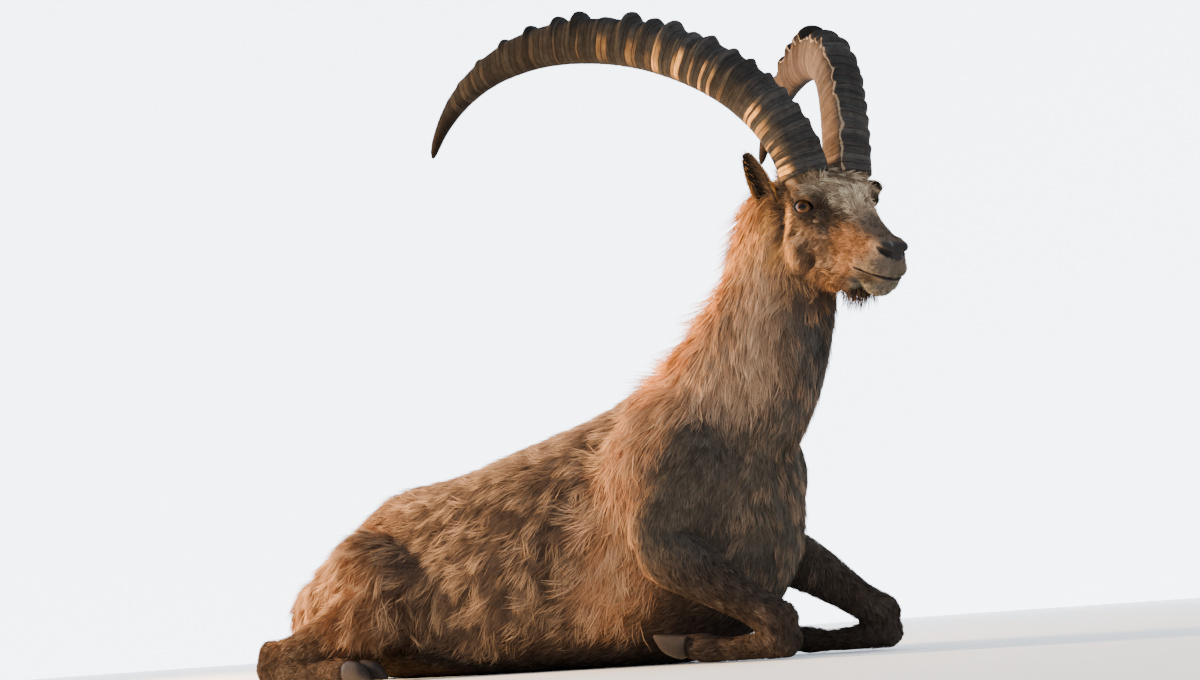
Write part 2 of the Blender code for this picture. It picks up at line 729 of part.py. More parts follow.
FORE_HOOF, HIND_HOOF = 0.058, 0.062           # lengths
FORE_HOOF_AIM, HIND_HOOF_AIM = Vector((-1, 0, 0.10)), Vector((1, 0.08, 0))
FORE_SOLE, HIND_SOLE = Vector((0, 0, 1)), Vector((0, 0, -1))   # folded under, a fore hoof shows its sole
CLAW_HALF_WIDTH, CLAW_HEIGHT = 0.0120, 0.032
CLAW_APART, CLAW_SPREAD = 0.0135, 0.003       # off the leg's middle at the heel, and more at the toe
HEEL_BACK, HEEL_RISE = 0.006, 0.014           # from the leg's end back along it, and towards the sole
# Claw from heel to toe: shares of its length and width, upper and lower edge as shares of its height.
CLAW = (
    (0.00, 0.90, 0.90, 0.00),
    (0.20, 1.00, 1.00, 0.00),
    (0.62, 0.95, 0.80, 0.00),
    (0.88, 0.58, 0.38, 0.00),
    (1.00, 0.18, 0.14, 0.04),
)
CLAW_CORNERS = 6


def build_claw(name, heel, toe, sole):
    """One claw of a cloven hoof, from its heel to its toe, with its sole facing the given way."""
    along = (toe - heel).normalized()
    across = sole.cross(along).normalized()
    lift = along.cross(across).normalized()
    if lift.dot(sole) > 0:
        lift = -lift
    length = (toe - heel).length
    rings = []
    for share, wide, high, low in CLAW:
        centre = heel + along * (length * share)
        ring = []
        for i in range(CLAW_CORNERS):
            angle = 2 * math.pi * i / CLAW_CORNERS
            y = math.cos(angle) * CLAW_HALF_WIDTH * wide
            z = (low + (high - low) * (math.sin(angle) + 1) / 2) * CLAW_HEIGHT
            ring.append(centre + across * y + lift * z)
        rings.append(ring)
    return loft(name, rings)


def build_hoof(label, which, end, direction, sole, length):
    """Two claws side by side at the end of a leg."""
    across = sole.cross(direction).normalized()
    claws = []
    for part, offset in (("inner", -1), ("outer", 1)):
        heel = end + across * (CLAW_APART * offset) - direction * HEEL_BACK + sole * HEEL_RISE
        toe = heel + direction * length + across * (CLAW_SPREAD * offset)
        claws.append(build_claw(f"hoof_{which}_{label}_{part}", heel, toe, sole))
    return claws


# ---------------------------------------------------------------- long hair

HAIR_SEED = 11
HAIRY = ("neck", "torso", "thigh_left", "thigh_right", "head", "tail")   # nodes that locks grow from
LOCK_THICKNESS = 0.0024          # half of it, at the widest place
LOCK_SWAY = 0.16                 # sideways wander of a lock, as a share of its length
LOCK_SPREAD = 0.12               # how far lengths differ from the table, as a share
# One lock from root to tip: share of its length, height over the skin, shares of its lift and width.
LOCK_PROFILE = (
    (0.00, -0.0075, 0.00, 0.70),
    (0.28, 0.0010, 0.10, 1.00),
    (0.66, 0.0024, 0.50, 0.74),
    (1.00, 0.0024, 1.00, 0.00),
)
# Rows on each side of the trunk: x of the first and last lock, degrees from the spine of both, their number,
# degrees below the horizontal that the first and last lie, length, half width.
TRUNK_ROWS = (
    (0.165, 0.020, 10, 14, 3, 22, 14, 0.095, 0.0165),       # withers
    (0.070, 0.050, 30, 108, 5, 48, 84, 0.100, 0.0165),      # behind the shoulder
    (-0.550, -0.615, 22, 74, 4, 40, 70, 0.080, 0.0150),     # rump
)
TRUNK_LIFT = 0.010
# Rows down the neck: degrees from the crest, first and last share of the neck's length, their number.
NECK_ROWS = (
    (0, 0.94, 0.40, 5),
    (29, 0.88, 0.32, 5),
    (-29, 0.88, 0.32, 5),
    (58, 0.80, 0.30, 4),
    (-58, 0.80, 0.30, 4),
    (88, 0.74, 0.28, 4),
    (-88, 0.74, 0.28, 4),
)
NECK_LOCK = (0.100, 0.0170, 0.009)   # length, half width, lift
NECK_HAIR_FALL = Vector((0, 0, -0.25))   # what its own weight adds to the way the neck's hair lies
# Beard and jaw fringe, in the head's axes: x, distance from the midline, length, half width.
BEARD_LOCKS = (
    (0.104, 0.007, 0.020, 0.0080),
    (0.103, -0.007, 0.020, 0.0080),
    (0.096, 0.000, 0.028, 0.0090),
    (0.092, 0.011, 0.027, 0.0085),
    (0.092, -0.011, 0.027, 0.0085),
    (0.082, 0.001, 0.032, 0.0090),
    (0.070, 0.012, 0.026, 0.0085),
    (0.070, -0.012, 0.026, 0.0085),
    (0.050, 0.017, 0.022, 0.0085),
    (0.050, -0.017, 0.022, 0.0085),
)
BEARD_HANG = Vector((-0.35, 0.0, -1.0))   # in the world: down and a little back
HANGING_PROFILE = ((-0.16, 0.80), (0.22, 1.00), (0.64, 0.68), (1.00, 0.00))   # shares of length and width
TAIL_LOCKS = ((-0.723, 0.007, 0.060), (-0.727, -0.007, 0.052), (-0.731, 0.000, 0.040))   # x, y, length
TAIL_ROOT_HEIGHT, TAIL_LOCK = 0.125, (0.0110, 0.004)   # half width, lift
TAIL_FALL = Vector((-0.25, 0.0, -1.0))
LOCK_STRAY, LOCK_TILT = 0.2, 6           # how far a root strays along its row, and degrees round the neck
BEARD_TURN = 0.9                         # how far a lock of the beard may be turned about its length
UNDER_HEAD = -0.2                        # height on the head's axis from which the beard's roots are found
NECK_STEPS = 40                          # places along the neck that a root is rounded to


def lock_ring(centre, up, along, half_width, fullness):
    across = up.cross(along).normalized() * half_width
    thick = up * (LOCK_THICKNESS * fullness)
    return [centre + across, centre + thick, centre - across, centre - thick]


def lock(skin, root, lie, length, half_width, lift, draw):
    """A flat, tapered lock that follows the skin it grows from and rises off it towards its tip."""
    normal = skin.find_nearest(root)[1]
    lie = (lie - normal * lie.dot(normal)).normalized()
    length *= 1 + LOCK_SPREAD * draw.uniform(-1, 1)
    aside = normal.cross(lie).normalized() * (length * LOCK_SWAY * draw.uniform(-1, 1))
    rings = []
    for share, height, rise, wide in LOCK_PROFILE:
        spot = root + lie * (length * share) + aside * share ** 2
        ground, up = skin.find_nearest(spot)[:2]
        centre = ground + up * (height + lift * rise)
        rings.append(lock_ring(centre, up, lie, half_width * wide, wide) if wide else centre)
    return loft("lock", rings[:-1], tip=rings[-1])


def hanging_lock(root, hang, length, half_width, across, draw):
    """A flat, tapered lock that hangs free from its root."""
    hang = hang.normalized()
    across = (across - hang * across.dot(hang)).normalized()
    up = hang.cross(across).normalized()
    length *= 1 + LOCK_SPREAD * draw.uniform(-1, 1)
    bend = up * (length * LOCK_SWAY * draw.uniform(-1, 1))
    rings = []
    for share, wide in HANGING_PROFILE:
        centre = root + hang * (length * share) + bend * max(share, 0.0) ** 2
        rings.append(lock_ring(centre, up, hang, half_width * wide, wide) if wide else centre)
    return loft("lock", rings[:-1], tip=rings[-1])


def trunk_centre(x):
    rows = np.array(sorted(TRUNK))
    top, bottom = (np.interp(x, rows[:, 0], rows[:, i]) for i in (1, 2))
    return Vector((x, 0, (top + bottom) / 2))


def trunk_locks(skin, draw):
    """Locks at the withers, behind the shoulders and on the rump, row by row on each side."""
    made = []
    for side in SIDES.values():
        for first, last, high, low, count, shallow, steep, length, half_width in TRUNK_ROWS:
            for i in range(count):
                share = (i + draw.uniform(-LOCK_STRAY, LOCK_STRAY)) / (count - 1)
                x = first + (last - first) * share
                turn = math.radians(high + (low - high) * share)
                out = Vector((0, side * math.sin(turn), math.cos(turn)))
                root = skin.ray_cast(trunk_centre(x) + out, -out)[0]
                fall = math.radians(shallow + (steep - shallow) * share)
                lie = Vector((-math.cos(fall), 0, -math.sin(fall)))
                made.append(lock(skin, root, lie, length, half_width, TRUNK_LIFT, draw))
    return made


def neck_locks(skin, draw):
    """Locks down the crest and sides of the neck, the lowest reaching over the shoulders as a fringe."""
    spine = [Vector(row) for row in spline([row[:3] for row in NECK], NECK_STEPS + 1)]
    length, half_width, lift = NECK_LOCK
    made = []
    for angle, first, last, count in NECK_ROWS:
        for i in range(count):
            share = first + (last - first) * (i + draw.uniform(-LOCK_STRAY, LOCK_STRAY)) / (count - 1)
            place = round(share * NECK_STEPS)
            along = (spine[place + 1] - spine[place - 1]).normalized()
            crest = along.cross(Vector((0, 1, 0))).normalized()
            tilt = math.radians(angle + draw.uniform(-LOCK_TILT, LOCK_TILT))
            out = Matrix.Rotation(tilt, 3, along) @ crest
            root = skin.ray_cast(spine[place] + out, -out)[0]
            made.append(lock(skin, root, NECK_HAIR_FALL - along, length, half_width, lift, draw))
    return made


def head_locks(head, draw):
    """The beard, and the fringe under the jaw behind it."""
    skin, axes = surface_of([head]), head_frame()
    made = []
    for x, y, length, half_width in BEARD_LOCKS:
        start = HEAD_ORIGIN + axes @ (Vector((x, y, UNDER_HEAD)) * HEAD_SCALE)
        root = skin.ray_cast(start, axes.col[2])[0]
        across = axes.col[1] + axes.col[0] * draw.uniform(-BEARD_TURN, BEARD_TURN)
        made.append(hanging_lock(root, BEARD_HANG, length, half_width, across, draw))
    return made


def tail_locks(tail, draw):
    skin = surface_of([tail])
    half_width, lift = TAIL_LOCK
    made = []
    for x, y, length in TAIL_LOCKS:
        root = skin.find_nearest(Vector((x, y, TAIL_ROOT_HEIGHT)))[0]
        made.append(lock(skin, root, TAIL_FALL, length, half_width, lift, draw))
    return made


def touches(piece, skin):
    """Whether the piece cuts the surface or comes very near to it."""
    if surface_of([piece]).overlap(skin):
        return True
    return any(skin.find_nearest(v.co)[3] < 3 * GAP for v in piece.data.vertices)


def grow_hair(parts, skin):
    """Fuses every lock into the node that holds its root, clear of all the others."""
    draw = random.Random(HAIR_SEED)
    skins = {name: surface_of([obj]) for name, obj in parts.items()}
    locks = trunk_locks(skin, draw) + neck_locks(skin, draw)
    locks += head_locks(parts["head"], draw) + tail_locks(parts["tail"], draw)
    grown = {name: [] for name in HAIRY}
    for made in locks:
        root = sum((v.co for v in made.data.vertices[:4]), Vector()) / 4
        owner = min(skins, key=lambda name: skins[name].find_nearest(root)[3])
        grown.get(owner, []).append(made)
        if owner not in grown:
            drop(made)
    for owner, made in grown.items():
        for piece in made:
            near = [obj for name, obj in parts.items() if name != owner and touches(piece, skins[name])]
            if near:
                trim(piece, near)
        if made:
            boolean(parts[owner], made, "UNION")
            drop(*made)
            skins[owner] = surface_of([parts[owner]])


# ---------------------------------------------------------------- assembly

MATERIALS = {
    "coat_back": ((0.30, 0.165, 0.085), 0.85),
    "coat_neck": ((0.34, 0.19, 0.10), 0.85),
    "coat_head": ((0.26, 0.17, 0.11), 0.85),
    "coat_legs": ((0.075, 0.05, 0.04), 0.85),
    "horn": ((0.16, 0.115, 0.075), 0.55),
    "eye": ((0.09, 0.045, 0.015), 0.12),
    "hoof": ((0.05, 0.045, 0.04), 0.5),
}


# The first key found in a node's name gives its material; the rest of the body has coat_back.
FINISH_OF = (
    ("head", "coat_head"), ("ear_", "coat_head"), ("neck", "coat_neck"), ("horn", "horn"), ("eye", "eye"),
    ("hoof", "hoof"), ("forearm", "coat_legs"), ("cannon", "coat_legs"), ("shank", "coat_legs"),
)


def paint(obj, material, angle=40):
    obj.data.materials.clear()
    obj.data.materials.append(material)
    obj.data.shade_smooth()
    obj.data.set_sharp_from_angle(angle=math.radians(angle))


def outline_cutter(name, outline, side, depth):
    """A side outline of (x, z) points, smoothed, and run from one distance off the midplane to the other."""
    points = list(outline) + [outline[0], outline[1], outline[2]]
    smooth = spline(points, (len(points) - 1) * 3 + 1)
    loop = smooth[3:3 + len(outline) * 3]
    rings = [[Vector((x, side * y, z)) for x, z in loop] for y in depth]
    return loft(name, rings)


SHOULDER_DEPTH, THIGH_DEPTH = (0.072, 0.260), (0.075, 0.300)   # inner and outer distance off the midplane
SHOULDER_OUTLINE = (
    (0.130, 0.405), (0.215, 0.405), (0.300, 0.352), (0.338, 0.275), (0.300, 0.205), (0.235, 0.150),
    (0.165, 0.132), (0.120, 0.180), (0.088, 0.270), (0.092, 0.350),
)
THIGH_OUTLINE = (
    (-0.470, 0.285), (-0.385, 0.262), (-0.290, 0.205), (-0.235, 0.130), (-0.262, 0.052), (-0.380, 0.012),
    (-0.520, 0.004), (-0.640, 0.040), (-0.672, 0.110), (-0.610, 0.205), (-0.540, 0.262),
)


def build_body():
    """Trunk, neck and head as one skin, then parted into nodes, and a record of the whole skin."""
    flesh = fuse("torso", flesh_forms(), voxel=0.009, smooth=6, triangles=2700)
    skull = fuse("head form", head_forms(), voxel=0.0034, smooth=3, triangles=1800)
    boolean(flesh, [skull], "UNION")
    drop(skull)
    skin = surface_of([flesh])
    head = part_by_plane("head", flesh, HEAD_CUT_POINT, HEAD_CUT_NORMAL)
    neck = part_by_plane("neck", flesh, NECK_CUT_POINT, NECK_CUT_NORMAL)
    parts = {"head": head, "neck": neck}
    for label, side in SIDES.items():
        shoulder = outline_cutter("shoulder cut", SHOULDER_OUTLINE, side, SHOULDER_DEPTH)
        parts[f"shoulder_{label}"] = split_off(f"shoulder_{label}", flesh, shoulder)
        haunch = outline_cutter("haunch cut", THIGH_OUTLINE, side, THIGH_DEPTH)
        parts[f"thigh_{label}"] = split_off(f"thigh_{label}", flesh, haunch)
    parts["torso"] = flesh
    return parts, skin


def build_legs(parts):
    """Folded lower legs, each trimmed against what it grows from."""
    for label, side in SIDES.items():
        shoulder, thigh, torso = parts[f"shoulder_{label}"], parts[f"thigh_{label}"], parts["torso"]
        forearm = limb(f"forearm_{label}", sided(FOREARM, side), count=10, steps=1)
        trim(forearm, [shoulder, torso])
        cannon = limb(f"fore_cannon_{label}", sided(FORE_CANNON, side), count=10, steps=1)
        trim(cannon, [forearm, torso, shoulder])
        parts[forearm.name], parts[cannon.name] = forearm, cannon
        shank = limb(f"shank_{label}", sided(SHANK, side), count=10, steps=1)
        trim(shank, [thigh, torso])
        metatarsus = limb(f"hind_cannon_{label}", sided(HIND_CANNON, side), count=10, steps=1)
        trim(metatarsus, [shank, thigh, torso])
        parts[shank.name], parts[metatarsus.name] = shank, metatarsus
        fore_end = outward(Vector(FORE_CANNON[-1][:3]), side)
        hind_end = outward(Vector(HIND_CANNON[-1][:3]), side)
        ahead = outward(HIND_HOOF_AIM, side).normalized()
        claws = build_hoof(label, "fore", fore_end, FORE_HOOF_AIM.normalized(), FORE_SOLE, FORE_HOOF)
        claws += build_hoof(label, "hind", hind_end, ahead, HIND_SOLE, HIND_HOOF)
        for claw in claws:
            trim(claw, [cannon, metatarsus])
            parts[claw.name] = claw


def set_down(objects):
    """Puts the origin below the middle of the whole animal, at the level it rests on."""
    corners = np.array([v.co for obj in objects for v in obj.data.vertices])
    low, high = corners.min(axis=0), corners.max(axis=0)
    shift = Matrix.Translation((-(low[0] + high[0]) / 2, -(low[1] + high[1]) / 2, -low[2]))
    for obj in objects:
        obj.data.transform(shift)


def main():
    clear_scene()
    parts, skin = build_body()
    head = parts["head"]
    cutters = head_cutters(head)
    boolean(head, cutters, "DIFFERENCE")
    drop(*cutters)
    for label, side in SIDES.items():
        eye = build_eye(label, side)
        trim(head, [eye])
        parts[eye.name] = eye
        for builder in (build_horn, build_ear):
            piece = builder(label, side)
            trim(piece, [head])
            parts[piece.name] = piece
    build_legs(parts)
    tail = limb("tail", TAIL, count=10, steps=2)
    trim(tail, [parts["torso"]])
    parts["tail"] = tail
    grow_hair(parts, skin)
    finishes = {name: coat(name, *values) for name, values in MATERIALS.items()}
    for name, obj in parts.items():
        level(obj)
        kind = next((finish for key, finish in FINISH_OF if key in name), "coat_back")
        paint(obj, finishes[kind])
    set_down(parts.values())


main()
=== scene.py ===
"""Dresses the alpine ibex: skin, coat of mesh tufts, ringed horns, eyes, lids, ears, hooves and a studio.

Metres, +Z up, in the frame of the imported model. The forms are laid out from the trunk, which points
along +X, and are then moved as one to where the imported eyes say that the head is.
"""

import math
from collections import namedtuple

import bmesh
import bpy
import numpy as np
from mathutils import Matrix, Vector
from mathutils.bvhtree import BVHTree
from mathutils.kdtree import KDTree


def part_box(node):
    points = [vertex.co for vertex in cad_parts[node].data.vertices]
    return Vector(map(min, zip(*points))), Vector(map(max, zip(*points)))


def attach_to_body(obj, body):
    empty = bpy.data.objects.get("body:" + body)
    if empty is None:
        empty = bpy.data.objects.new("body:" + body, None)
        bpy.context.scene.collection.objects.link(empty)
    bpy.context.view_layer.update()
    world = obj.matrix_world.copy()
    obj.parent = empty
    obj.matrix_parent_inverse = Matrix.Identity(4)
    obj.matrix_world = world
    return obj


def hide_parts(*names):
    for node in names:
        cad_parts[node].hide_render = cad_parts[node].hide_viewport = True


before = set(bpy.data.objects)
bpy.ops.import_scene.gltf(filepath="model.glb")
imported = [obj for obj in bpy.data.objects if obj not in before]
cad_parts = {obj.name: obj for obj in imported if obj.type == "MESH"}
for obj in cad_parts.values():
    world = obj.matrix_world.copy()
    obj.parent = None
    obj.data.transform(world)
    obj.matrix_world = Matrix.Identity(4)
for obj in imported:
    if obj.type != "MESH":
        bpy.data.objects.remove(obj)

bl_info = {
    "name": "Alpine Ibex",
    "version": (1, 0, 0),
    "blender": (4, 5, 0),
    "location": "View3D > Sidebar > Ibex",
    "description": "Builds the skin, coat, horns, eyes, ears, hooves and studio of a lying alpine ibex",
    "category": "Object",
}

SIDES = {"right": -1, "left": 1}


# ---------------------------------------------------------------- settings

def length(name, description, default):
    return bpy.props.FloatProperty(name=name, description=description, default=default, unit="LENGTH")


def share(name, description, default, low=0.0, high=1.0):
    return bpy.props.FloatProperty(name=name, description=description, default=default, min=low, max=high)


def colour(name, description, default):
    return bpy.props.FloatVectorProperty(
        name=name, description=description, default=default, subtype="COLOR", size=3, min=0.0, max=1.0
    )


class IbexCoatSettings(bpy.types.PropertyGroup):
    fullness: share("Fullness", "Number of tufts, as a share of the full coat", 1.0, 0.05, 1.5)
    length: share("Length", "Length of the tufts, as a share of the usual", 1.0, 0.2, 1.5)
    clumping: share("Clumping", "How far tips are drawn together", 1.0, 0.0, 1.3)
    variety: share("Variety", "How far the tufts differ in colour", 0.20)
    back: colour("Back", "Short hair along the spine", (0.3, 0.19, 0.13))
    flank: colour("Flank", "Hair on the ribs", (0.086, 0.059, 0.043))
    straw: colour("Straw", "Faded tips of the flank and rump", (0.59, 0.375, 0.212))
    nape: colour("Nape", "Crest of the neck", (0.6, 0.215, 0.05))
    # Gold is also laid as painted sunlight on the cheeks and as painted rim light on the ears.
    gold: colour("Gold", "Tips along the nape and the tail", (0.9, 0.43, 0.13))
    neck: colour("Neck", "Sides of the neck", (0.37, 0.225, 0.135))
    fawn: colour("Fawn", "Tips on the sides of the neck", (0.6, 0.4, 0.25))
    throat: colour("Throat", "Front of the neck", (0.07, 0.068, 0.062))
    chest: colour("Chest", "Breast below the neck", (0.1, 0.086, 0.066))
    shoulder: colour("Shoulder", "Short smooth hair on the shoulder", (0.08, 0.067, 0.054))
    russet: colour("Russet", "Long hair behind the shoulder", (0.5, 0.24, 0.11))
    rump: colour("Rump", "Shaggy hair on rump and thigh", (0.15, 0.07, 0.036))
    tail: colour("Tail", "Tail", (0.34, 0.125, 0.036))
    belly: colour("Belly", "Underside and legs", (0.042, 0.03, 0.023))
    face: colour("Face", "Grey-brown of the head", (0.105, 0.07, 0.047))
    # Slate also makes the painted shadow under the upper lip.
    slate: colour("Slate", "Dark patches round the eye", (0.036, 0.027, 0.021))
    tan: colour("Tan", "Cheeks and sides of the muzzle", (0.25, 0.125, 0.055))
    cream: colour("Cream", "Grizzled forehead", (1.0, 0.76, 0.49))
    jaw: colour("Jaw", "Curly hair along the jaw", (0.11, 0.05, 0.022))
    forehead: colour("Forehead", "Roots of the grizzled forehead", (0.34, 0.22, 0.13))
    bridge: colour("Bridge", "Bridge of the nose", (0.135, 0.1, 0.074))
    lip: colour("Lip", "Upper lip", (0.165, 0.13, 0.098))
    chin: colour("Chin", "Lower lip and chin", (0.145, 0.132, 0.098))
    beard: colour("Beard", "Beard under the chin", (0.034, 0.021, 0.014))


class IbexHornSettings(bpy.types.PropertyGroup):
    ring_height: length("Ring height", "How far the growth rings stand out", 0.0010)
    knob_rise: share("Knob rise", "What a knob adds to the horn's depth", 0.26)
    dark: colour("Dark", "Grooves and the front of the horn", (0.044, 0.04, 0.037))
    brown: colour("Brown", "Sides of the horn", (0.037, 0.033, 0.028))
    # Painted sheen: the shine of the worn streaks, laid into their colour.
    painted_sheen_amber: colour("Amber", "Worn, shining streaks", (0.56, 0.28, 0.07))
    rose: colour("Rose", "Inner side of the horn", (0.1, 0.066, 0.045))
    keel: colour("Keel", "Worn edge between the front and the inner side", (0.3, 0.215, 0.14))


class IbexEyeSettings(bpy.types.PropertyGroup):
    cornea_rise: length("Cornea rise", "How far the cornea stands out of the ball", 0.0012)
    iris: colour("Iris", "Outer iris", (0.11, 0.044, 0.012))
    iris_core: colour("Iris core", "Iris round the pupil", (0.05, 0.02, 0.006))
    pupil: colour("Pupil", "Pupil and limbus", (0.004, 0.003, 0.003))
    lid: colour("Lid", "Bare skin of the lids", (0.022, 0.016, 0.013))


class IbexHoofSettings(bpy.types.PropertyGroup):
    wall: colour("Wall", "Hoof wall", (0.024, 0.019, 0.016))
    worn: colour("Worn", "Worn edge of the wall", (0.048, 0.038, 0.031))


class IbexStageSettings(bpy.types.PropertyGroup):
    floor: colour("Floor", "Studio floor", (0.74, 0.74, 0.73))
    sky: colour("Sky", "Light of the surroundings", (0.78, 0.87, 1.0))
    sky_strength: share("Sky strength", "Brightness of the surroundings", 1.2, 0.0, 5.0)
    backdrop: share("Backdrop", "Glow of the backdrop behind the animal", 5.2, 0.0, 9.0)
    key_power: share("Key power", "Warm low light from beside the rump, in watts", 1000.0, 0.0, 3000.0)
    fill_power: share("Fill power", "Soft light from beside the camera, in watts", 12.0, 0.0, 2000.0)


# ---------------------------------------------------------------- forms, as in the solids

HEAD_ORIGIN = Vector((0.4694, -0.0322, 0.607))
HEAD_YAW, HEAD_PITCH, HEAD_ROLL = math.radians(-20.3), math.radians(20.6), math.radians(2.3)
HEAD_SCALE = 0.956

# Trunk stations from the seat bones to the breast: x, height of back, height of belly, half width.
TRUNK = (
    (-0.690, 0.150, 0.082, 0.030),
    (-0.670, 0.176, 0.056, 0.060),
    (-0.632, 0.197, 0.030, 0.084),
    (-0.580, 0.230, 0.012, 0.100),
    (-0.520, 0.264, 0.000, 0.114),
    (-0.455, 0.303, -0.006, 0.128),
    (-0.390, 0.315, -0.010, 0.142),
    (-0.300, 0.320, -0.012, 0.160),
    (-0.200, 0.338, -0.012, 0.176),
    (-0.100, 0.360, -0.010, 0.180),
    (0.000, 0.381, -0.008, 0.168),
    (0.080, 0.408, -0.006, 0.148),
    (0.140, 0.429, 0.000, 0.130),
    (0.200, 0.420, 0.018, 0.118),
    (0.250, 0.400, 0.050, 0.104),
    (0.290, 0.368, 0.095, 0.086),
    (0.318, 0.330, 0.150, 0.062),
    (0.330, 0.300, 0.200, 0.034),
)
TRUNK_BULGE = 0.44
# Limbs and neck: x, y (distance out, on a limb), z, half width, half depth.
NECK = (
    (0.160, 0.000, 0.290, 0.098, 0.110),
    (0.236, 0.000, 0.356, 0.098, 0.118),
    (0.300, 0.000, 0.432, 0.084, 0.108),
    (0.342, -0.002, 0.510, 0.068, 0.092),
    (0.362, -0.006, 0.576, 0.060, 0.082),
    (0.384, -0.014, 0.632, 0.056, 0.070),
)
BLADE = (
    (0.130, 0.060, 0.362, 0.036, 0.044),
    (0.190, 0.088, 0.325, 0.044, 0.058),
    (0.250, 0.098, 0.280, 0.042, 0.050),
)
UPPER_ARM = (
    (0.256, 0.098, 0.272, 0.040, 0.044),
    (0.222, 0.116, 0.226, 0.044, 0.052),
    (0.190, 0.130, 0.176, 0.042, 0.050),
)
TRICEPS = (Vector((0.165, 0.108, 0.265)), (0.085, 0.044, 0.100))
HAUNCH = (Vector((-0.448, 0.094, 0.122)), (0.138, 0.072, 0.100))
THIGH = (
    (-0.476, 0.100, 0.160, 0.052, 0.076),
    (-0.400, 0.140, 0.146, 0.057, 0.092),
    (-0.312, 0.168, 0.122, 0.046, 0.074),
)
FOREARM = (
    (0.196, 0.134, 0.160, 0.036, 0.042),
    (0.246, 0.136, 0.136, 0.037, 0.043),
    (0.305, 0.133, 0.102, 0.029, 0.034),
    (0.352, 0.130, 0.073, 0.025, 0.028),
    (0.390, 0.128, 0.050, 0.028, 0.031),
)
FORE_CANNON = (
    (0.396, 0.127, 0.028, 0.026, 0.026),
    (0.352, 0.126, 0.021, 0.020, 0.020),
    (0.300, 0.124, 0.018, 0.018, 0.018),
    (0.258, 0.122, 0.021, 0.023, 0.022),
    (0.228, 0.121, 0.026, 0.018, 0.018),
)
SHANK = (
    (-0.306, 0.172, 0.104, 0.040, 0.056),
    (-0.380, 0.188, 0.088, 0.042, 0.054),
    (-0.465, 0.198, 0.064, 0.029, 0.038),
    (-0.540, 0.198, 0.050, 0.021, 0.030),
    (-0.588, 0.194, 0.050, 0.019, 0.030),
)
HIND_CANNON = (
    (-0.584, 0.198, 0.034, 0.023, 0.032),
    (-0.520, 0.208, 0.020, 0.019, 0.022),
    (-0.440, 0.220, 0.017, 0.018, 0.018),
    (-0.372, 0.230, 0.020, 0.024, 0.022),
    (-0.336, 0.236, 0.018, 0.019, 0.018),
)
TAIL = (
    (-0.668, 0.0, 0.158, 0.026, 0.022),
    (-0.696, 0.0, 0.150, 0.026, 0.018),
    (-0.721, 0.0, 0.118, 0.024, 0.014),
    (-0.731, 0.0, 0.078, 0.012, 0.008),
)
CAP_BULGE, CAP_SHRINK = 0.62, 0.72

# Skull stations in the head's own axes: x, top, bottom, half width, share of the height where it is widest.
SKULL = (
    (-0.112, 0.040, -0.040, 0.040, 0.55),
    (-0.092, 0.056, -0.064, 0.054, 0.58),
    (-0.060, 0.064, -0.082, 0.058, 0.62),
    (-0.025, 0.064, -0.094, 0.058, 0.66),
    (0.008, 0.056, -0.104, 0.054, 0.68),
    (0.038, 0.041, -0.106, 0.045, 0.66),
    (0.068, 0.024, -0.101, 0.036, 0.60),
    (0.096, 0.010, -0.095, 0.029, 0.54),
    (0.122, -0.002, -0.092, 0.026, 0.48),
    (0.140, -0.011, -0.088, 0.025, 0.45),
    (0.152, -0.020, -0.081, 0.021, 0.45),
    (0.158, -0.030, -0.070, 0.013, 0.45),
)
# Swellings over the skull, on each side: centre, radii.
SWELLINGS = (
    (Vector((0.000, 0.047, 0.024)), (0.034, 0.0205, 0.017)),     # brow
    (Vector((-0.002, 0.041, -0.018)), (0.046, 0.015, 0.014)),    # cheekbone
    (Vector((-0.028, 0.036, -0.046)), (0.042, 0.023, 0.044)),    # jaw muscle
    (Vector((0.030, 0.020, -0.088)), (0.070, 0.016, 0.018)),     # jaw bone
    (Vector((-0.038, 0.034, 0.050)), (0.042, 0.034, 0.024)),     # horn seat
    (Vector((0.131, 0.0125, -0.026)), (0.029, 0.013, 0.015)),    # side of the nose
    (Vector((0.131, 0.014, -0.052)), (0.026, 0.015, 0.015)),     # upper lip
    (Vector((0.123, 0.011, -0.079)), (0.024, 0.013, 0.011)),     # lower lip
    (Vector((-0.002, 0.0465, 0.010)), (0.0230, 0.0230, 0.0230)),  # lids
)
CHIN = (Vector((0.119, 0, -0.086)), (0.026, 0.017, 0.013))

EYE_RADIUS = 0.0185
EYE_CENTRE = Vector((-0.002, 0.0475, 0.010))
GAZE = Vector((0.50, 0.86, 0.09))    # the way the left eye looks, in the head's axes
LID_SLIT, LID_TILT = (0.0184, 0.0104), math.radians(8)
LID_PINCH, LID_RAISE, LID_CORNERS = 1.35, 0.0008, 48
NOSTRIL = (
    (0.163, 0.0080, -0.036, 0.0022, 0.0018),
    (0.158, 0.0125, -0.034, 0.0055, 0.0046),
    (0.151, 0.0180, -0.030, 0.0062, 0.0050),
    (0.141, 0.0250, -0.026, 0.0034, 0.0026),
)
MOUTH_CORNER, MOUTH_FRONT = (0.094, -0.062), (0.160, -0.069)   # x and z on the skull
MOUTH_GROOVE = (0.0040, 0.0021)      # how deep and how wide the line of the mouth is cut
MOUTH_STEPS, MOUTH_TURN, MOUTH_PIVOT, MOUTH_DIP, MOUTH_SIDE = 8, 90, 0.035, 8, 0.62
MOUTH_CORNER_FADE = 0.35
LID_CUT = ((0.004, 0.80), (0.040, 1.30))     # distance out and share of the opening of the lids' cutter

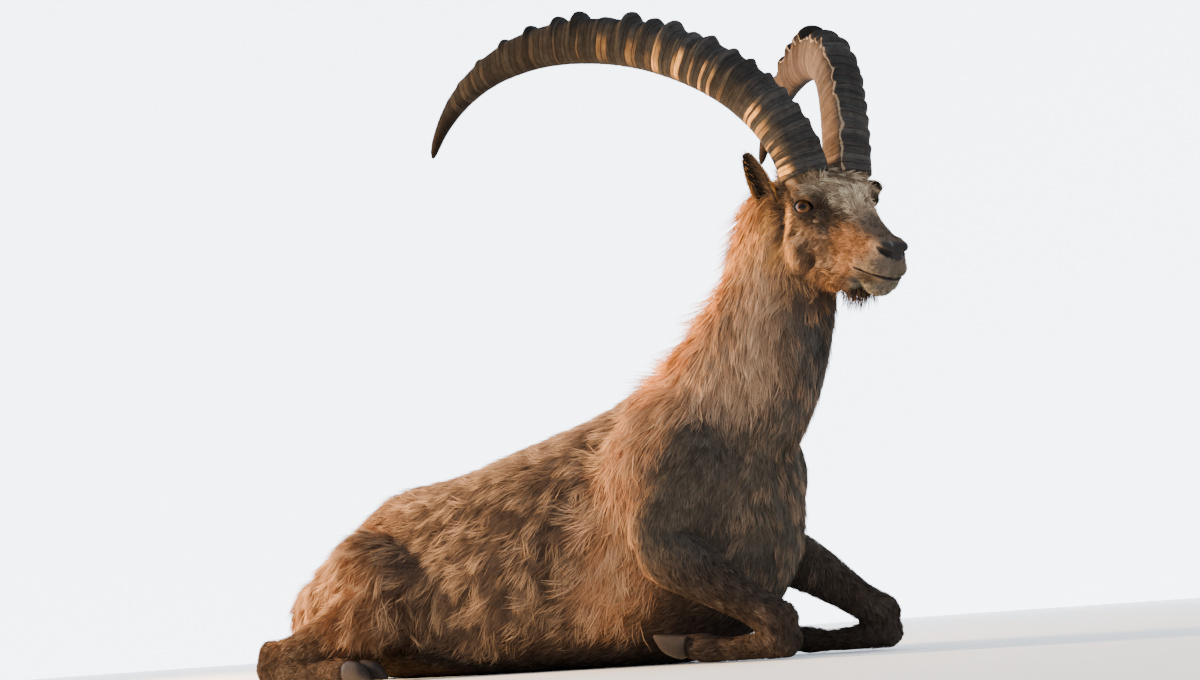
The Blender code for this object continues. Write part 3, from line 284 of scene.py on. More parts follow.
EAR_LENGTH = {"right": 0.120, "left": 0.104}
EAR_ROOT = {"right": Vector((-0.081, 0.046, -0.030)), "left": Vector((-0.083, 0.050, -0.007))}
EAR_AIM = {"right": Vector((-0.12, -0.45, 0.88)), "left": Vector((-0.06, 0.92, 0.37))}
EAR = (
    (0.00, 0.013, 0.010),
    (0.18, 0.018, 0.015),
    (0.42, 0.021, 0.014),
    (0.68, 0.0195, 0.010),
    (0.88, 0.0135, 0.005),
    (1.00, 0.0050, 0.002),
)
EAR_OPENING = {"right": Vector((0.32, -0.94, 0.05)), "left": Vector((1.00, -0.10, 0.25))}
EAR_FLOOR, EAR_FILLING = 0.12, 0.006
EAR_WALL, EAR_WALL_ROOT = 0.0022, 0.0035


# ---------------------------------------------------------------- small tools

def in_head(point):
    """A point given in the head's own axes, in the trunk's."""
    return HEAD_ORIGIN + HEAD_AXES @ (Vector(point) * HEAD_SCALE)


HEAD_AXES = (
    Matrix.Rotation(HEAD_YAW, 3, "Z")
    @ Matrix.Rotation(HEAD_PITCH, 3, "Y")
    @ Matrix.Rotation(HEAD_ROLL, 3, "X")
)
_eye_low, _eye_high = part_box("eye_right")
SHIFT = (_eye_low + _eye_high) / 2 - in_head((EYE_CENTRE.x, -EYE_CENTRE.y, EYE_CENTRE.z))


def sided(stations, side):
    return [(x, y * side, z, *rest) for x, y, z, *rest in stations]


def outward(vector, side):
    return Vector((vector[0], vector[1] * side, vector[2]))


def deselect():
    if bpy.context.object and bpy.context.object.mode != "OBJECT":
        bpy.ops.object.mode_set(mode="OBJECT")
    bpy.ops.object.select_all(action="DESELECT")


def pick(obj):
    """Makes the object the only selected one and the active one."""
    deselect()
    obj.select_set(True)
    bpy.context.view_layer.objects.active = obj
    return obj


def drop(*objects):
    for obj in objects:
        bpy.data.objects.remove(obj)


def add_object(name, mesh):
    obj = bpy.data.objects.new(name, mesh)
    bpy.context.scene.collection.objects.link(obj)
    return obj


def modify(obj, kind, **settings):
    """Adds one modifier with its settings and applies it."""
    pick(obj)
    modifier = obj.modifiers.new(kind.lower(), kind)
    for key, value in settings.items():
        setattr(modifier, key, value)
    bpy.ops.object.modifier_apply(modifier=modifier.name)
    return obj


def finish_piece(obj, material, nodes, angle=60):
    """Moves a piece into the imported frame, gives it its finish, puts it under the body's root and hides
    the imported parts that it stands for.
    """
    obj.data.materials.clear()
    obj.data.materials.append(material)
    obj.data.shade_smooth()
    if angle:
        obj.data.set_sharp_from_angle(angle=math.radians(angle))
    obj.data.transform(Matrix.Translation(SHIFT))
    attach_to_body(obj, "root")
    if nodes:
        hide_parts(*nodes)
    deselect()
    return obj


def fetch(name):
    obj = bpy.data.objects.get(name)
    if obj is None:
        raise RuntimeError(f"{name} has to be built first")
    return obj


def spline(points, count):
    """Points of a Catmull-Rom curve through the rows of a table, evenly spaced in its parameter."""
    rows = np.array(points, float)
    rows = np.vstack([2 * rows[0] - rows[1], rows, 2 * rows[-1] - rows[-2]])
    spans = len(rows) - 3
    made = []
    for u in np.linspace(0, spans, count):
        i = min(int(u), spans - 1)
        t = u - i
        a, b, c, d = rows[i:i + 4]
        square = 2 * a - 5 * b + 4 * c - d
        cube = 3 * b - a - 3 * c + d
        made.append((2 * b + (c - a) * t + square * t ** 2 + cube * t ** 3) / 2)
    return np.array(made)


def mesh_of(name, points, faces):
    mesh = bpy.data.meshes.new(name)
    mesh.from_pydata([tuple(p) for p in points], [], faces)
    mesh.update()
    return add_object(name, mesh)


def loft(name, rings, closed=False):
    """A closed solid through rings of equal point counts: ends get fans, or meet where it is closed."""
    rings = np.array(rings, float)
    steps, count = rings.shape[:2]
    points = list(rings.reshape(-1, 3))
    faces = []
    for k in range(steps if closed else steps - 1):
        low, high = k * count, ((k + 1) % steps) * count
        for i in range(count):
            j = (i + 1) % count
            faces.append((low + i, low + j, high + j, high + i))
    if not closed:
        for start in (0, (steps - 1) * count):
            apex = len(points)
            points.append(np.mean(points[start:start + count], axis=0))
            faces += [(start + i, start + (i + 1) % count, apex) for i in range(count)]
    obj = mesh_of(name, points, faces)
    outside(obj)
    return obj


def outside(obj):
    bm = bmesh.new()
    bm.from_mesh(obj.data)
    bmesh.ops.recalc_face_normals(bm, faces=bm.faces)
    bm.to_mesh(obj.data)
    bm.free()


def ellipsoid(name, centre, radii, frame_axes=None, segments=48, rings=28):
    """A ball added at its place and size, with its size and turn baked into its mesh."""
    deselect()
    bpy.ops.mesh.primitive_uv_sphere_add(segments=segments, ring_count=rings, radius=1.0)
    obj = bpy.context.object
    obj.name = name
    turn = frame_axes.to_4x4() if frame_axes else Matrix.Identity(4)
    obj.data.transform(Matrix.Translation(centre) @ turn @ Matrix.Diagonal((*radii, 1.0)))
    return obj


def section(centre, side, up, half_width, top, bottom, count=48, crown=1.0, keel=1.0):
    """One ring: an ellipse whose upper and lower halves have their own height and fullness."""
    ring = []
    for i in range(count):
        angle = 2 * math.pi * i / count
        across, along = math.cos(angle), math.sin(angle)
        lift = top * abs(along) ** crown if along >= 0 else -bottom * abs(along) ** keel
        ring.append(centre + side * (half_width * across) + up * lift)
    return ring


def limb(name, stations, up=Vector((0, 0, 1)), count=28, steps=6):
    """A tube through stations of (x, y, z, half width across, half depth), with rounded ends."""
    rows = spline(stations, (len(stations) - 1) * steps + 1)
    rings = []
    for i, row in enumerate(rows):
        ahead, behind = rows[min(i + 1, len(rows) - 1)], rows[max(i - 1, 0)]
        along = Vector(ahead[:3] - behind[:3]).normalized()
        side = along.cross(up).normalized()
        lift = side.cross(along).normalized()
        rings.append(section(Vector(row[:3]), side, lift, row[3], row[4], row[4], count))
    caps = []
    for end, neighbour in ((0, 1), (-1, -2)):
        centre = Vector(rows[end][:3])
        away = (centre - Vector(rows[neighbour][:3])).normalized()
        bulge = away * (min(rows[end][3:]) * CAP_BULGE)
        caps.append([centre + (p - centre) * CAP_SHRINK + bulge for p in rings[end]])
    return loft(name, [caps[0], *rings, caps[1]])


def placed(obj, scale=HEAD_SCALE):
    """Moves a form made in the head's own axes to the head."""
    obj.data.transform(Matrix.Translation(HEAD_ORIGIN) @ (HEAD_AXES * scale).to_4x4())
    return obj


def join(name, pieces):
    pick(pieces[0])
    for piece in pieces:
        piece.select_set(True)
    bpy.ops.object.join()
    obj = bpy.context.object
    obj.name = name
    return obj


def melt(name, pieces, voxel, smooth):
    """Melts overlapping closed pieces into one smooth skin."""
    obj = join(name, pieces)
    modify(obj, "REMESH", mode="VOXEL", voxel_size=voxel)
    modify(obj, "SMOOTH", factor=0.5, iterations=smooth)
    return obj


def arrays_of(mesh):
    """Points, their normals and the triangles of a mesh, as arrays."""
    points = np.empty(len(mesh.vertices) * 3)
    mesh.vertices.foreach_get("co", points)
    normals = np.empty(len(mesh.vertices) * 3)
    mesh.vertex_normals.foreach_get("vector", normals)
    mesh.calc_loop_triangles()
    corners = np.empty(len(mesh.loop_triangles) * 3, int)
    mesh.loop_triangles.foreach_get("vertices", corners)
    return points.reshape(-1, 3), normals.reshape(-1, 3), corners.reshape(-1, 3)


def head_points_of(points):
    """Points of the trunk's axes in the head's own."""
    return (points - np.array(HEAD_ORIGIN)) @ np.array(HEAD_AXES) / HEAD_SCALE


def unit(vectors):
    return vectors / np.maximum(np.linalg.norm(vectors, axis=-1, keepdims=True), 1e-9)


def smoothstep(values, low, high):
    t = np.clip((values - low) / (high - low), 0, 1)
    return t * t * (3 - 2 * t)


def ripple(points, scale, seed):
    """Smooth noise from -1 to 1 made of crossed waves, one value for each point."""
    draw = np.random.default_rng(seed)
    total = np.zeros(len(points))
    for octave in range(5):
        direction = unit(draw.normal(size=(3, 3))) * (2 * math.pi / scale) * (1 + 0.37 * octave)
        phase = draw.uniform(0, 2 * math.pi, 3)
        total += np.prod(np.sin(points @ direction.T + phase), axis=1)
    return np.clip(total, -1.5, 1.5) / 1.5


# ---------------------------------------------------------------- lie, length and colours of the coat

# One kind of hair: length, width, lift of its tip as a share of the length, how far tips are drawn
# together, size of a clump, waviness, tufts per square centimetre, depth of the coat, colours of its middle
# and its tips, share of pale tips, segments, and the coat piece that holds it.
Hair = namedtuple("Hair", "length width lift pull clump wave density depth body tip pale steps piece")
HAIRS = {
    "nape": Hair(0.05, 0.0018, 0.42, 0.75, 0.022, 0.35, 9.0, 0.007, "nape", "gold", 0.55, 3, "neck"),
    "neck": Hair(0.04, 0.0014, 0.09, 0.5, 0.014, 0.18, 11.0, 0.006, "neck", "fawn", 0.35, 3, "neck"),
    "throat": Hair(0.032, 0.0013, 0.16, 0.45, 0.014, 0.25, 9.0, 0.005, "throat", "neck", 0.3, 3, "neck"),
    "chest": Hair(0.026, 0.0013, 0.14, 0.45, 0.013, 0.3, 10.0, 0.004, "chest", "neck", 0.25, 2, "shoulder"),
    "shoulder": Hair(
        0.019, 0.0012, 0.09, 0.4, 0.012, 0.25, 11.0, 0.003, "shoulder", "chest", 0.35, 2, "shoulder"
    ),
    "band": Hair(0.052, 0.0017, 0.15, 0.6, 0.016, 0.45, 10.0, 0.006, "russet", "straw", 0.35, 3, "band"),
    "back": Hair(0.028, 0.0013, 0.13, 0.5, 0.014, 0.4, 11.0, 0.005, "back", "straw", 0.22, 2, "flank"),
    "flank": Hair(0.04, 0.0013, 0.18, 0.6, 0.016, 0.55, 10.4, 0.006, "flank", "straw", 0.34, 2, "flank"),
    "rump": Hair(0.04, 0.0014, 0.22, 0.6, 0.017, 0.55, 10.4, 0.007, "rump", "straw", 0.36, 2, "rump"),
    "tail": Hair(0.038, 0.0015, 0.18, 0.4, 0.014, 0.25, 10.0, 0.005, "tail", "gold", 0.4, 3, "rump"),
    "belly": Hair(0.022, 0.0021, 0.08, 0.4, 0.018, 0.2, 2.0, 0.004, "belly", "shoulder", 0.2, 2, "belly"),
    "leg": Hair(0.011, 0.0015, 0.05, 0.25, 0.01, 0.15, 6.2, 0.0016, "belly", "shoulder", 0.3, 2, "leg"),
    "scruff": Hair(0.02, 0.0014, 0.18, 0.45, 0.012, 0.35, 16.0, 0.003, "face", "gold", 0.35, 2, "crown"),
    "crown": Hair(0.012, 0.0011, 0.24, 0.5, 0.009, 0.6, 24.0, 0.0016, "face", "cream", 0.55, 2, "crown"),
    "cuff": Hair(0.017, 0.001, 0.8, 0.45, 0.008, 0.7, 30.0, 0.0012, "forehead", "cream", 0.35, 2, "crown"),
    "forehead": Hair(0.014, 0.001, 0.3, 0.6, 0.007, 1.1, 32.0, 0.0016, "forehead", "cream", 0.5, 2, "face"),
    "temple": Hair(0.008, 0.0009, 0.12, 0.3, 0.008, 0.3, 28.0, 0.0012, "slate", "face", 0.5, 2, "face"),
    "cheek": Hair(0.008, 0.0009, 0.14, 0.4, 0.007, 0.35, 36.0, 0.0014, "face", "fawn", 0.3, 2, "face"),
    "jaw": Hair(0.017, 0.001, 0.26, 0.55, 0.01, 0.8, 26.0, 0.002, "jaw", "gold", 0.14, 3, "jaw"),
    "bridge": Hair(0.005, 0.0008, 0.1, 0.2, 0.006, 0.2, 30.0, 0.0008, "bridge", "face", 0.6, 2, "face"),
    "muzzle": Hair(0.007, 0.0007, 0.15, 0.35, 0.006, 0.4, 40.0, 0.001, "tan", "russet", 0.25, 2, "face"),
    "lip": Hair(0.0042, 0.0007, 0.08, 0.15, 0.006, 0.2, 32.0, 0.0006, "lip", "face", 0.4, 2, "face"),
    "chin": Hair(0.005, 0.0008, 0.12, 0.2, 0.006, 0.25, 32.0, 0.0006, "chin", "lip", 0.5, 2, "face"),
    "eye rim": Hair(0.0045, 0.0007, 0.06, 0.15, 0.006, 0.15, 34.0, 0.0008, "slate", "face", 0.3, 2, "face"),
    "beard": Hair(0.029, 0.0009, 0.55, 0.4, 0.007, 0.4, 34.0, 0.001, "beard", "russet", 0.25, 3, "jaw"),
}
# Where each kind grows on the body, on the right and mirrored on the left: kind, place, reach, lie.
BODY_HAIR = (
    ("nape", (0.334, 0.01, 0.64), 0.045, (-0.45, 0.1, -0.9)),
    ("nape", (0.262, 0.02, 0.56), 0.05, (-0.45, 0.15, -0.9)),
    ("nape", (0.205, 0.02, 0.485), 0.055, (-0.55, 0.2, -0.8)),
    ("nape", (0.16, 0.015, 0.435), 0.045, (-0.85, 0.15, -0.4)),
    ("neck", (0.36, 0.06, 0.56), 0.05, (-0.2, 0.05, -1.0)),
    ("neck", (0.31, 0.072, 0.5), 0.05, (-0.15, 0.05, -1.0)),
    ("neck", (0.34, 0.074, 0.43), 0.05, (-0.05, 0.05, -1.0)),
    ("neck", (0.262, 0.085, 0.44), 0.045, (-0.25, 0.08, -0.95)),
    ("neck", (0.3, 0.09, 0.4), 0.04, (-0.12, 0.08, -1.0)),
    ("throat", (0.425, 0.015, 0.52), 0.045, (-0.05, 0.05, -1.0)),
    ("throat", (0.415, 0.02, 0.45), 0.045, (-0.05, 0.05, -1.0)),
    ("throat", (0.395, 0.02, 0.385), 0.045, (-0.15, 0.05, -1.0)),
    ("chest", (0.353, 0.02, 0.31), 0.06, (-0.3, 0.0, -0.95)),
    ("chest", (0.3, 0.03, 0.18), 0.07, (-0.4, 0.0, -0.9)),
    ("chest", (0.33, 0.085, 0.24), 0.04, (-0.4, 0.05, -0.9)),
    ("shoulder", (0.288, 0.1, 0.3), 0.05, (-0.4, 0.05, -0.9)),
    ("shoulder", (0.24, 0.14, 0.27), 0.05, (-0.45, 0.05, -0.9)),
    ("shoulder", (0.215, 0.16, 0.2), 0.055, (-0.2, 0.05, -1.0)),
    ("shoulder", (0.265, 0.15, 0.2), 0.05, (0.1, 0.05, -1.0)),
    ("band", (0.19, 0.085, 0.4), 0.04, (-0.5, 0.2, -0.85)),
    ("band", (0.165, 0.12, 0.35), 0.04, (-0.45, 0.2, -0.9)),
    ("band", (0.14, 0.15, 0.28), 0.04, (-0.4, 0.1, -0.9)),
    ("band", (0.115, 0.155, 0.2), 0.04, (-0.4, 0.0, -0.9)),
    ("band", (0.11, 0.15, 0.12), 0.045, (-0.45, 0.0, -0.9)),
    ("back", (0.08, 0.03, 0.4), 0.06, (-1.0, 0.1, -0.15)),
    ("back", (-0.05, 0.03, 0.37), 0.07, (-1.0, 0.1, -0.15)),
    ("back", (-0.2, 0.03, 0.335), 0.07, (-1.0, 0.1, -0.1)),
    ("back", (-0.33, 0.03, 0.318), 0.06, (-1.0, 0.1, -0.1)),
    ("flank", (0.06, 0.12, 0.32), 0.06, (-0.8, 0.15, -0.6)),
    ("flank", (0.02, 0.165, 0.23), 0.07, (-0.65, 0.1, -0.8)),
    ("flank", (0.03, 0.165, 0.13), 0.07, (-0.6, 0.0, -0.85)),
    ("flank", (-0.1, 0.12, 0.31), 0.07, (-0.85, 0.15, -0.55)),
    ("flank", (-0.11, 0.175, 0.2), 0.08, (-0.7, 0.05, -0.75)),
    ("flank", (-0.15, 0.175, 0.11), 0.08, (-0.65, 0.0, -0.8)),
    ("flank", (-0.24, 0.11, 0.285), 0.07, (-0.85, 0.15, -0.55)),
    ("flank", (-0.26, 0.16, 0.19), 0.07, (-0.7, 0.05, -0.75)),
    ("rump", (-0.4, 0.06, 0.3), 0.06, (-0.8, 0.15, -0.55)),
    ("rump", (-0.5, 0.05, 0.265), 0.06, (-0.8, 0.15, -0.6)),
    ("rump", (-0.6, 0.04, 0.21), 0.06, (-0.75, 0.1, -0.7)),
    ("rump", (-0.48, 0.14, 0.2), 0.07, (-0.6, 0.1, -0.85)),
    ("rump", (-0.38, 0.165, 0.22), 0.07, (-0.5, 0.1, -0.9)),
    ("rump", (-0.38, 0.2, 0.14), 0.06, (-0.4, 0.1, -0.95)),
    ("rump", (-0.56, 0.13, 0.13), 0.07, (-0.5, 0.05, -0.9)),
    ("rump", (-0.64, 0.08, 0.12), 0.05, (-0.5, 0.05, -0.9)),
    ("tail", (-0.69, 0.01, 0.165), 0.025, (-0.8, 0.0, -0.6)),
    ("tail", (-0.74, 0.01, 0.12), 0.025, (-0.25, 0.0, -1.0)),
    ("belly", (0.2, 0.05, 0.02), 0.09, (-0.8, 0.1, -0.2)),
    ("belly", (0.0, 0.08, 0.0), 0.09, (-0.8, 0.1, -0.2)),
    ("belly", (-0.2, 0.08, 0.0), 0.09, (-0.8, 0.1, -0.2)),
    ("belly", (-0.45, 0.06, 0.01), 0.09, (-0.8, 0.1, -0.2)),
    ("leg", (0.23, 0.16, 0.13), 0.035, (0.7, 0.0, -0.7)),
    ("leg", (0.305, 0.145, 0.102), 0.035, (0.8, 0.0, -0.6)),
    ("leg", (0.37, 0.14, 0.06), 0.03, (0.8, 0.0, -0.6)),
    ("leg", (0.405, 0.13, 0.03), 0.025, (-0.1, 0.0, -1.0)),
    ("leg", (0.33, 0.13, 0.012), 0.022, (-1.0, 0.0, 0.0)),
    ("leg", (0.25, 0.125, 0.015), 0.025, (-1.0, 0.0, 0.0)),
    ("leg", (-0.42, 0.215, 0.08), 0.035, (-0.95, 0.05, -0.3)),
    ("leg", (-0.5, 0.215, 0.055), 0.035, (-1.0, 0.05, -0.15)),
    ("leg", (-0.59, 0.2, 0.05), 0.035, (-0.4, 0.0, -0.9)),
    ("leg", (-0.52, 0.215, 0.015), 0.022, (1.0, 0.05, 0.0)),
    ("leg", (-0.43, 0.23, 0.015), 0.025, (1.0, 0.05, 0.0)),
    ("leg", (-0.345, 0.24, 0.018), 0.025, (1.0, 0.05, 0.0)),
)
# The same on the head, in its own axes.
HEAD_HAIR = (
    ("scruff", (-0.105, 0.02, 0.02), 0.03, (-0.8, 0.1, -0.6)),
    ("scruff", (-0.098, 0.045, -0.04), 0.028, (-0.7, 0.1, -0.7)),
    ("cuff", (0.013, 0.036, 0.056), 0.01, (-0.2, 1.0, 0.3)),
    ("cuff", (0.008, 0.058, 0.044), 0.01, (-0.8, 0.8, 0.2)),
    ("cuff", (-0.03, 0.068, 0.036), 0.012, (-1.0, 0.2, 0.4)),
    ("cuff", (-0.066, 0.058, 0.04), 0.012, (-0.85, -0.2, 0.6)),
    ("cuff", (0.004, 0.01, 0.068), 0.01, (0.4, 1.0, 0.2)),
    ("crown", (-0.075, 0.02, 0.062), 0.025, (-1.0, 0.1, 0.0)),
    ("crown", (-0.005, 0.012, 0.062), 0.022, (0.7, 0.45, 0.2)),
    ("forehead", (0.02, 0.008, 0.052), 0.02, (0.55, 0.8, 0.0)),
    ("forehead", (0.03, 0.028, 0.042), 0.018, (-0.4, 0.7, 0.2)),
    ("forehead", (0.052, 0.012, 0.032), 0.018, (-0.6, 0.6, 0.3)),
    ("forehead", (0.075, 0.01, 0.02), 0.016, (-0.9, 0.3, 0.2)),
    ("temple", (0.04, 0.044, 0.015), 0.016, (-0.7, 0.2, 0.7)),
    ("temple", (0.06, 0.036, 0.0), 0.014, (-0.85, 0.2, 0.2)),
    ("temple", (-0.035, 0.058, 0.028), 0.018, (-1.0, 0.1, 0.2)),
    ("temple", (-0.055, 0.06, 0.0), 0.02, (-1.0, 0.1, -0.1)),
    ("eye rim", (-0.002, 0.062, 0.03), 0.012, (-0.9, 0.2, 0.4)),
    ("eye rim", (0.022, 0.056, 0.008), 0.01, (-0.6, 0.2, -0.7)),
    ("eye rim", (-0.002, 0.062, -0.012), 0.012, (-0.9, 0.1, -0.4)),
    ("eye rim", (-0.028, 0.06, 0.008), 0.01, (-1.0, 0.1, 0.0)),
    ("cheek", (0.028, 0.046, -0.03), 0.018, (-0.9, 0.05, -0.5)),
    ("cheek", (-0.005, 0.054, -0.042), 0.02, (-0.9, 0.05, -0.5)),
    ("cheek", (-0.043, 0.057, -0.035), 0.02, (-0.9, 0.05, -0.45)),
    ("cheek", (0.04, 0.04, -0.065), 0.02, (-0.85, 0.05, -0.55)),
    ("jaw", (-0.026, 0.053, -0.078), 0.022, (-0.7, 0.05, -0.75)),
    ("jaw", (0.012, 0.046, -0.09), 0.02, (-0.7, 0.05, -0.75)),
    ("jaw", (0.048, 0.033, -0.096), 0.018, (-0.75, 0.05, -0.7)),
    ("jaw", (0.0, 0.01, -0.105), 0.028, (-0.75, 0.05, -0.7)),
    ("bridge", (0.095, 0.008, 0.012), 0.018, (-1.0, 0.15, 0.0)),
    ("bridge", (0.122, 0.008, 0.0), 0.016, (-1.0, 0.2, 0.1)),
    ("muzzle", (0.08, 0.03, -0.016), 0.016, (-1.0, 0.1, -0.1)),
    ("muzzle", (0.078, 0.034, -0.045), 0.018, (-1.0, 0.1, -0.2)),
    ("muzzle", (0.108, 0.028, -0.034), 0.014, (-1.0, 0.1, -0.15)),
    ("lip", (0.125, 0.028, -0.046), 0.014, (-0.9, 0.2, -0.4)),
    ("lip", (0.148, 0.018, -0.052), 0.012, (-0.5, 0.4, -0.8)),
    ("lip", (0.102, 0.029, -0.056), 0.012, (-1.0, 0.1, -0.3)),
    ("chin", (0.14, 0.014, -0.08), 0.014, (-0.5, 0.2, -0.9)),
    ("chin", (0.115, 0.022, -0.08), 0.014, (-0.9, 0.1, -0.5)),
    ("chin", (0.118, 0.008, -0.097), 0.012, (-0.7, 0.1, -0.8)),
    ("beard", (0.091, 0.008, -0.104), 0.011, (-0.6, 0.0, -1.0)),
    ("beard", (0.073, 0.01, -0.107), 0.01, (-0.6, 0.0, -1.0)),
)
HANG = np.array((-0.30, 0.03, -1.0))     # the way the beard falls

# Spots and streaks over the kinds' own colours, some of them painted sunlight and shadow: colour, head or
# body, place, radii, strength.
Marking = namedtuple("Marking", "colour on_head place radii strength")
MARKINGS = (
    Marking("slate", True, (0.032, 0.05, 0.02), (0.014, 0.014, 0.022), 0.95),
    Marking("slate", True, (0.044, 0.044, -0.004), (0.014, 0.012, 0.02), 0.9),
    Marking("face", True, (0.024, 0.048, -0.03), (0.022, 0.02, 0.018), 0.8),
    Marking("lip", True, (0.01, 0.052, -0.042), (0.008, 0.02, 0.005), 0.7),
    # The next two gold patches on the rear of the cheek are painted sunlight.
    Marking("gold", True, (-0.04, 0.058, -0.022), (0.008, 0.02, 0.028), 0.85),
    Marking("gold", True, (-0.032, 0.056, -0.06), (0.012, 0.02, 0.018), 0.75),
    Marking("slate", True, (-0.024, 0.056, -0.025), (0.01, 0.02, 0.014), 1.0),
    Marking("slate", True, (-0.002, 0.052, -0.053), (0.012, 0.02, 0.01), 1.0),
    Marking("slate", True, (0.01, 0.05, -0.068), (0.009, 0.02, 0.014), 0.9),
    Marking("slate", True, (0.018, 0.046, -0.086), (0.006, 0.02, 0.012), 0.6),
    Marking("slate", True, (0.058, 0.038, -0.04), (0.006, 0.016, 0.014), 0.6),
    Marking("slate", True, (-0.056, 0.062, -0.026), (0.011, 0.028, 0.046), 1.0),
    Marking("slate", True, (-0.044, 0.06, 0.026), (0.024, 0.02, 0.018), 0.85),
    # The next two gold patches behind the cheek and on the jaw are painted sunlight.
    Marking("gold", True, (-0.079, 0.068, -0.032), (0.01, 0.03, 0.028), 0.95),
    Marking("gold", True, (-0.056, 0.062, -0.068), (0.012, 0.03, 0.02), 0.6),
    Marking("russet", True, (0.08, 0.034, -0.02), (0.01, 0.014, 0.016), 0.45),
    Marking("slate", True, (0.0, 0.064, -0.004), (0.018, 0.012, 0.006), 0.8),
    # The next slate band is a painted shadow under the upper lip, along the line of the mouth.
    Marking("slate", True, (0.116, 0.026, -0.074), (0.03, 0.024, 0.0085), 1.0),
    Marking("tan", True, (0.066, 0.037, -0.084), (0.02, 0.02, 0.01), 0.6),
    Marking("russet", True, (0.092, 0.03, -0.054), (0.008, 0.014, 0.009), 0.5),
    Marking("cream", True, (0.04, 0.0, 0.045), (0.03, 0.01, 0.02), 0.5),
    Marking("bridge", True, (0.11, 0.012, 0.002), (0.018, 0.02, 0.012), 0.8),
    Marking("throat", False, (0.292, 0.072, 0.5), (0.02, 0.03, 0.05), 0.6),
    Marking("gold", False, (0.33, 0.055, 0.585), (0.022, 0.035, 0.035), 0.6),
    Marking("throat", False, (0.3, 0.095, 0.345), (0.05, 0.04, 0.022), 0.55),
)
# Folds and hollows of the head, on each side: place, radii, height over the skin.
RELIEF = (
    ((0.042, 0.046, 0.004), (0.016, 0.014, 0.014), -0.0028),     # groove before the eye
    ((-0.020, 0.056, -0.029), (0.006, 0.014, 0.009), -0.0018),
    ((-0.002, 0.052, -0.053), (0.010, 0.014, 0.006), -0.0018),
    ((0.016, 0.048, -0.076), (0.006, 0.020, 0.018), -0.0024),    # front of the jaw muscle
    ((0.004, 0.060, -0.014), (0.020, 0.014, 0.0035), 0.0013),    # bag under the eye
    ((0.006, 0.058, -0.022), (0.018, 0.014, 0.0035), -0.0012),
    ((-0.002, 0.060, 0.034), (0.020, 0.014, 0.0035), -0.0014),   # fold over the lid
    ((-0.050, 0.060, 0.014), (0.014, 0.014, 0.018), -0.0026),    # temple
    ((-0.054, 0.062, -0.026), (0.008, 0.022, 0.036), -0.0060),   # groove behind the cheek
    ((-0.070, 0.066, -0.034), (0.011, 0.024, 0.026), 0.0050),    # ridge down from the ear
    ((0.150, 0.021, -0.021), (0.013, 0.010, 0.0045), 0.0016),    # wing of the nose
    ((0.158, 0.000, -0.056), (0.012, 0.0024, 0.014), -0.0022),   # groove of the upper lip
    ((0.104, 0.030, -0.052), (0.012, 0.014, 0.008), 0.0018),     # swelling at the corner of the mouth
    ((0.130, 0.026, -0.058), (0.030, 0.016, 0.006), 0.0030),     # edge of the upper lip
    ((0.120, 0.024, -0.073), (0.034, 0.016, 0.0060), -0.0038),   # under it
)


MARK_SHIFT = 0.5                 # a tuft takes the marking that lies under this share of its length
MARK_ON_TIPS = 0.95              # how far a marking covers the colour of the tips
GUIDE_BLOCK = 20000              # points weighed at a time
DAPPLE = 0.24                    # strength of the mottling
DAPPLE_SIZES = (0.035, 0.110)    # its small streaks and its large patches
DAPPLE_STRETCH = np.array((1.0, 1.0, 0.35))      # how its streaks are drawn out
HAIR_NUMBERS = ("length", "width", "lift", "pull", "clump", "wave", "density", "depth", "pale")


def guides():
    """Places, reach, lie and kind of every guide on both sides, in the trunk's axes."""
    rows = []
    for side in SIDES.values():
        for kind, place, reach, lie in BODY_HAIR:
            rows.append((outward(place, side), reach, outward(lie, side), kind))
        for kind, place, reach, lie in HEAD_HAIR:
            lie = HEAD_AXES @ outward(lie, side)
            rows.append((in_head(outward(place, side)), reach * HEAD_SCALE, lie, kind))
    return rows


def weights_at(points, rows):
    """How much each guide counts at each point, one row of shares for each point."""
    places = np.array([row[0] for row in rows])
    reach = np.array([row[1] for row in rows])
    made = []
    for start in range(0, len(points), GUIDE_BLOCK):
        block = points[start:start + GUIDE_BLOCK]
        far = ((block[:, None] - places[None]) ** 2).sum(axis=2) / reach ** 2
        near = np.exp(far.min(axis=1, keepdims=True) - far)
        made.append(near / near.sum(axis=1, keepdims=True))
    return np.vstack(made)


def mark(points, body, tip, coat):
    """Lays the markings over the colours of the hair and of its tips."""
    head = head_points_of(points)
    for marking in MARKINGS:
        where = head if marking.on_head else points
        place = np.array(marking.place)
        radii = np.array(marking.radii)
        near = np.zeros(len(points))
        for side in SIDES.values():
            gap = (where - place * (1, side, 1)) / radii
            near = np.maximum(near, np.exp(-(gap ** 2).sum(axis=1) ** 1.5))
        near = (near * marking.strength)[:, None]
        shade = np.array(getattr(coat, marking.colour))
        body = body * (1 - near) + shade * near
        tip = tip * (1 - near * MARK_ON_TIPS) + shade * near * MARK_ON_TIPS
    return body, tip


def hair_at(points, coat):
    """Everything that the coat is at each point: a dictionary of arrays."""
    rows = guides()
    weights = weights_at(points, rows)
    kinds = [HAIRS[row[3]] for row in rows]
    found = {"lie": weights @ np.array([unit(np.array(row[2])) for row in rows])}
    for key in HAIR_NUMBERS:
        found[key] = weights @ np.array([getattr(kind, key) for kind in kinds])
    body = weights @ np.array([getattr(coat, kind.body) for kind in kinds])
    tip = weights @ np.array([getattr(coat, kind.tip) for kind in kinds])
    body, tip = mark(points + unit(found["lie"]) * (found["length"] * MARK_SHIFT)[:, None], body, tip, coat)
    calm = blending(points)[:, None] / BODY_BLEND
    fine, broad = DAPPLE_SIZES
    dapple = (ripple(points * DAPPLE_STRETCH, fine, 3) + ripple(points, broad, 4) * 1.2)[:, None]
    strength = 1 + DAPPLE * dapple * (0.35 + 0.65 * calm)
    found["body"], found["tip"] = body * strength, tip * strength
    found["kind"] = np.array([row[3] for row in rows])[weights.argmax(axis=1)]
    return found


# ---------------------------------------------------------------- shader building

